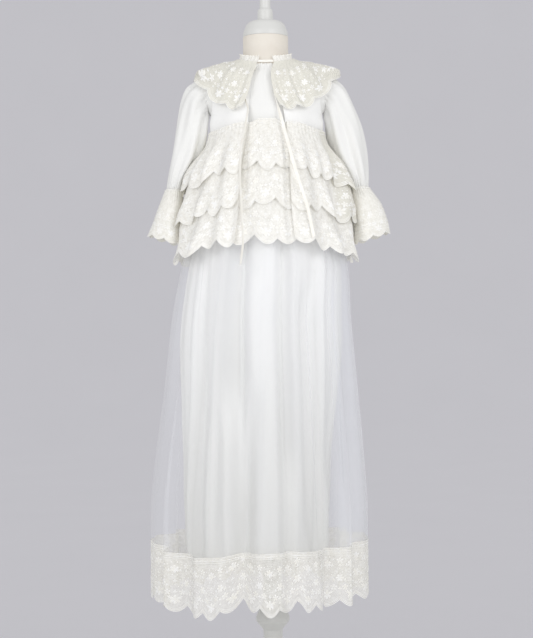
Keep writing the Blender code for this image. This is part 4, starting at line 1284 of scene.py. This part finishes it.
def cuff_surface(side, outer):
    """Where a cuff lies: outer is the column of the table that has its outer edge."""
    share_of = [(k / (len(CUFF) - 1), *row) for k, row in enumerate(CUFF)]

    def surface(u, v):
        angle = 2 * np.pi * u
        columns = (outer + 1, 3, 4, 5, 6)
        outer_x, outer_z, inner_x, inner_z, half_depth = (read(share_of, k, v) for k in columns)
        wave = 0.0030 * v * (np.cos(4 * angle + 0.9) - 1) + 0.0005 * np.cos(31 * angle) * ease(1 - v / 0.4)
        # Pressed flat, so that it is squarer than round.
        square = np.abs(np.cos(angle)) ** SQUARENESS + np.abs(np.sin(angle)) ** SQUARENESS
        square = square ** (-1 / SQUARENESS)
        grow = (1 + wave / half_depth) * blend(1.0, square, ease(v / 0.3))
        x = side * ((outer_x + inner_x) / 2 + (outer_x - inner_x) / 2 * np.cos(angle) * grow)
        y = CUFF_CENTRE_Y + half_depth * np.sin(angle) * grow
        z = (outer_z + inner_z) / 2 + (outer_z - inner_z) / 2 * np.cos(angle) + 0.0025 * (1 - v) ** 4
        return np.stack(np.broadcast_arrays(x, y, z), axis=-1)

    return surface


for name, node, side, outer, rests_on in (
    ("right_cuff", "cuff_right", 1, 0, "right_sleeve"),
    ("left_cuff", "cuff_left", -1, 1, "left_sleeve"),
):
    lace(
        name,
        node,
        cuff_surface(side, outer),
        CUFF_LOBES,
        CUFF_SCALLOP_DEPTH,
        1.2,
        closed=True,
        flip=side < 0,
        heading=((1.5, 1.2, 0.9),),
        band=60,
        layers=0.55,
    )

# ---------------------------------------------------------------- the neckband and the collar
# A gathered casing of net for the ribbon, with a tiny frill along its top, and under it one wide
# gathered strip of the embroidered tulle that falls over the shoulders.

# How far the rows of the casing are above its lower edge. The frill is the uppermost 4 mm.
CASING_ROWS = (0.0165, 0.0150, 0.0135, 0.0120, 0.0100, 0.0075, 0.0050, 0.0030, 0.0015, 0.0)
CASING_END = 13.5  # degrees to either side of the front
COLLAR_LOBES, COLLAR_SCALLOP_DEPTH = 16, 0.0095
# share, front y, front z, side x, side z, back y, back z
COLLAR = (
    (0.00, 0.0500, 1.1790, 0.0490, 1.1945, 0.0500, 1.2000),
    (0.25, 0.0610, 1.1610, 0.0710, 1.1880, 0.0610, 1.1800),
    (0.50, 0.0700, 1.1410, 0.0930, 1.1790, 0.0690, 1.1580),
    (0.75, 0.0765, 1.1190, 0.1140, 1.1725, 0.0745, 1.1310),
    (1.00, 0.0815, 1.0950, 0.1330, 1.1620, 0.0790, 1.1080),
)
# share, the right and the left front edge in degrees from the middle
COLLAR_EDGES = ((0.00, 13.5, 15.0), (0.35, 7.5, 20.0), (0.70, 10.0, 23.0), (1.00, 18.5, 30.0))

phi = np.linspace(CASING_END, 360 - CASING_END, 720)[None, :]
lift = np.array(CASING_ROWS)[:, None]
ridges = waves(52, phi) + 0.5 * waves(77, phi, 1)
flare = ease((lift - 0.0125) / 0.004)
points = on_form(phi, neck_z(phi) + lift, 0.0041 + ridges * (0.0005 + 0.0009 * flare) + 0.0008 * flare)
neckband = shell("neckband_casing", "jacket_neckband", points, tulle)
as_sheet(points, 1.0)


def collar_surface(u, v):
    """Where the collar lies: from the neck seam out over the shoulders, clear of the jacket."""
    first, last = read(COLLAR_EDGES, 1, v), 360 - read(COLLAR_EDGES, 2, v)
    phi = blend(first, last, u)
    turn = np.radians(phi)
    ahead = 1 - np.sin(turn) ** 8
    front = np.cos(turn) > 0
    deep = np.where(front, read(COLLAR, 1, v), read(COLLAR, 5, v))
    end_z = np.where(front, read(COLLAR, 2, v), read(COLLAR, 6, v))
    reach = 1 / np.sqrt((np.sin(turn) / read(COLLAR, 3, v)) ** 2 + (np.cos(turn) / deep) ** 2)
    z = blend(read(COLLAR, 4, v), end_z, ahead)
    points = np.stack(np.broadcast_arrays(reach * np.sin(turn), -reach * np.cos(turn), z), axis=-1)
    # It falls in broad waves, and is finely ruffled along the front.
    wave = 0.5 + 0.5 * np.cos(2 * np.pi * (COLLAR_LOBES * u * 0.75 + 0.15) + 1.2 * np.sin(6 * u))
    ruffle = 0.5 - 0.5 * np.cos(2 * np.pi * 34 * u)
    ruffle = ruffle * ease((from_front(phi) - 5) / 6) * ease((75 - from_front(phi)) / 30)
    pleats = 0.0004 * waves(61, phi) * ease(1 - v / 0.35)
    out = blend(0.0078, 0.0102, ease(v * 3)) + (0.0070 * wave + 0.0040 * ruffle) * v + pleats
    for _ in range(4):
        outward, distance = form_outward(points)
        points = points + outward * np.maximum(0.0, out - distance)[..., None]
    seam = on_form(phi, neck_z(phi) + 0.003, 0.0078)
    return blend(seam, points, np.asarray(ease(v / 0.12))[..., None])


# The collar's net is closer, and its colour is painted greyer, as painted shade.
lace(
    "collar_lace",
    "jacket_collar",
    collar_surface,
    COLLAR_LOBES,
    COLLAR_SCALLOP_DEPTH,
    1.3,
    band=82,
    layers=0.68,
)

# ---------------------------------------------------------------- the ribbon
# A narrow double-faced satin ribbon, threaded through the neckband. A short stretch shows at the
# front, and its two tails hang down over the lace, each with a slanting cut end.

RIBBON_WIDTH = 0.006
RIBBON_BOW = 0.0007  # how far its middle stands out past its edges
END_SLANT = 0.004
# x, z down each tail
LEFT_TAIL = (
    (-0.0110, 1.1765),
    (-0.0240, 1.1620),
    (-0.0350, 1.1450),
    (-0.0385, 1.1250),
    (-0.0360, 1.1100),
    (-0.0324, 1.0973),
    (-0.0382, 1.0642),
    (-0.0450, 1.0260),
    (-0.0472, 0.9916),
    (-0.0452, 0.9256),
    (-0.0429, 0.8660),
    (-0.0474, 0.8227),
)
RIGHT_TAIL = (
    (0.0085, 1.1765),
    (0.0100, 1.1550),
    (0.0135, 1.1255),
    (0.0219, 1.0934),
    (0.0300, 1.0620),
    (0.0381, 1.0274),
    (0.0518, 0.9745),
    (0.0680, 0.9226),
    (0.0784, 0.8698),
)

# Polyester satin ribbon: long floats that lie along it, calendered. Champagne, with a soft bright
# gloss across its width. The floats are 0.2 mm apart, drawn at 1 mm.
satin, tree, shader = new_finish("satin_ribbon")
place = add(tree, "ShaderNodeTexCoord", {})
floats = {"Vector": place.outputs["UV"], "Scale": WAVE / 1.0472, "Distortion": 0.8}
floats = add(tree, "ShaderNodeTexWave", floats)
cloud = add(tree, "ShaderNodeTexNoise", {"Vector": place.outputs["Object"], "Scale": 60.0, "Detail": 2.0})
tint = add(tree, "ShaderNodeValToRGB", {"Fac": cloud.outputs["Fac"]})
tint.color_ramp.elements[0].position, tint.color_ramp.elements[1].position = 0.35, 0.65
tint.color_ramp.elements[0].color = linear("#f7f4ec")
tint.color_ramp.elements[1].color = linear("#fcfaf5")
bump = add(tree, "ShaderNodeBump", {"Height": floats.outputs["Fac"], "Strength": 0.12, "Distance": 0.0002})
look = {"Base Color": tint.outputs["Color"], "Normal": bump.outputs["Normal"]}
fill(tree, shader, look | {"Roughness": 0.32, "Anisotropic": 0.4, "Sheen Weight": 0.1})


def in_front(x, z):
    """Where the ribbon lies at this place: on the bodice, then on the tiers' ridges."""
    reach = blend(0.0140, 0.0278, ease((1.077 - z) / 0.080)) - 0.0040 * ease((0.97 - z) / 0.10)
    over = on_skirt(0.0, z, reach)
    wide = read(SKIRT, 1, z) + reach
    tier_y = over[..., 1] * np.sqrt(1 - ((x - over[..., 0]) / wide) ** 2)
    form_y = -read(FORM, 2, z) * np.sqrt(1 - (x / read(FORM, 1, z)) ** 2)
    outward, _ = form_outward(np.stack([x, form_y, z], axis=-1))
    bodice_y = form_y + (jacket_out(z) + 0.0016) / np.minimum(-0.35, outward[..., 1])
    return blend(bodice_y, tier_y, ease((1.098 - z) / 0.020))


# Each tail is turned more or less edge on, most where it leaves the knot: degrees low down,
# degrees at the knot, z where the turn starts, and over what height it comes.
for name, node, route, length, turn_low, turn_high, turn_z, turn_over in (
    ("left_ribbon_tail", "ribbon_tail_left", LEFT_TAIL, 0.372, 52.0, 70.0, 1.090, 0.03),
    ("right_ribbon_tail", "ribbon_tail_right", RIGHT_TAIL, 0.320, 22.0, 72.0, 1.075, 0.04),
):
    z = np.linspace(route[0][1], route[-1][1], 120)
    x = read(route, 0, z, key=1)
    lean = np.arctan((read(route, 0, z + 0.004, key=1) - read(route, 0, z - 0.004, key=1)) / 0.008)
    path = np.column_stack([x, in_front(x, z), z])
    turn = np.radians(blend(turn_low, turn_high, ease((z - turn_z) / turn_over)))
    lines = []
    for across in np.linspace(-0.5, 0.5, 7):
        step = RIBBON_WIDTH * across
        line_x = x + step * np.cos(turn) * np.cos(lean)
        line_z = z - step * np.cos(turn) * np.sin(lean)
        off = np.sin(turn) * (0.5 * RIBBON_WIDTH + step) * 0.8 + RIBBON_BOW * (1 - (2 * across) ** 2)
        line = np.column_stack([line_x, in_front(line_x, line_z) - off, line_z])
        line[-1, 2] += END_SLANT * across
        lines.append(line)
    tail = shell(name, node, np.stack(lines, axis=1), satin)

# The stretch across the opening, drawn a little together.
phi = np.linspace(-12.9, 12.9, 60)[None, :]
lift = np.linspace(0.0082, 0.0038, 9)[:, None]
tuck = 0.0004 * waves(24, phi) * (1 + np.cos((lift - 0.0060) * 1400))
points = on_form(phi, neck_z(phi) + lift, 0.0046 + tuck)
shell("ribbon_stretch", "ribbon_front", points, satin)
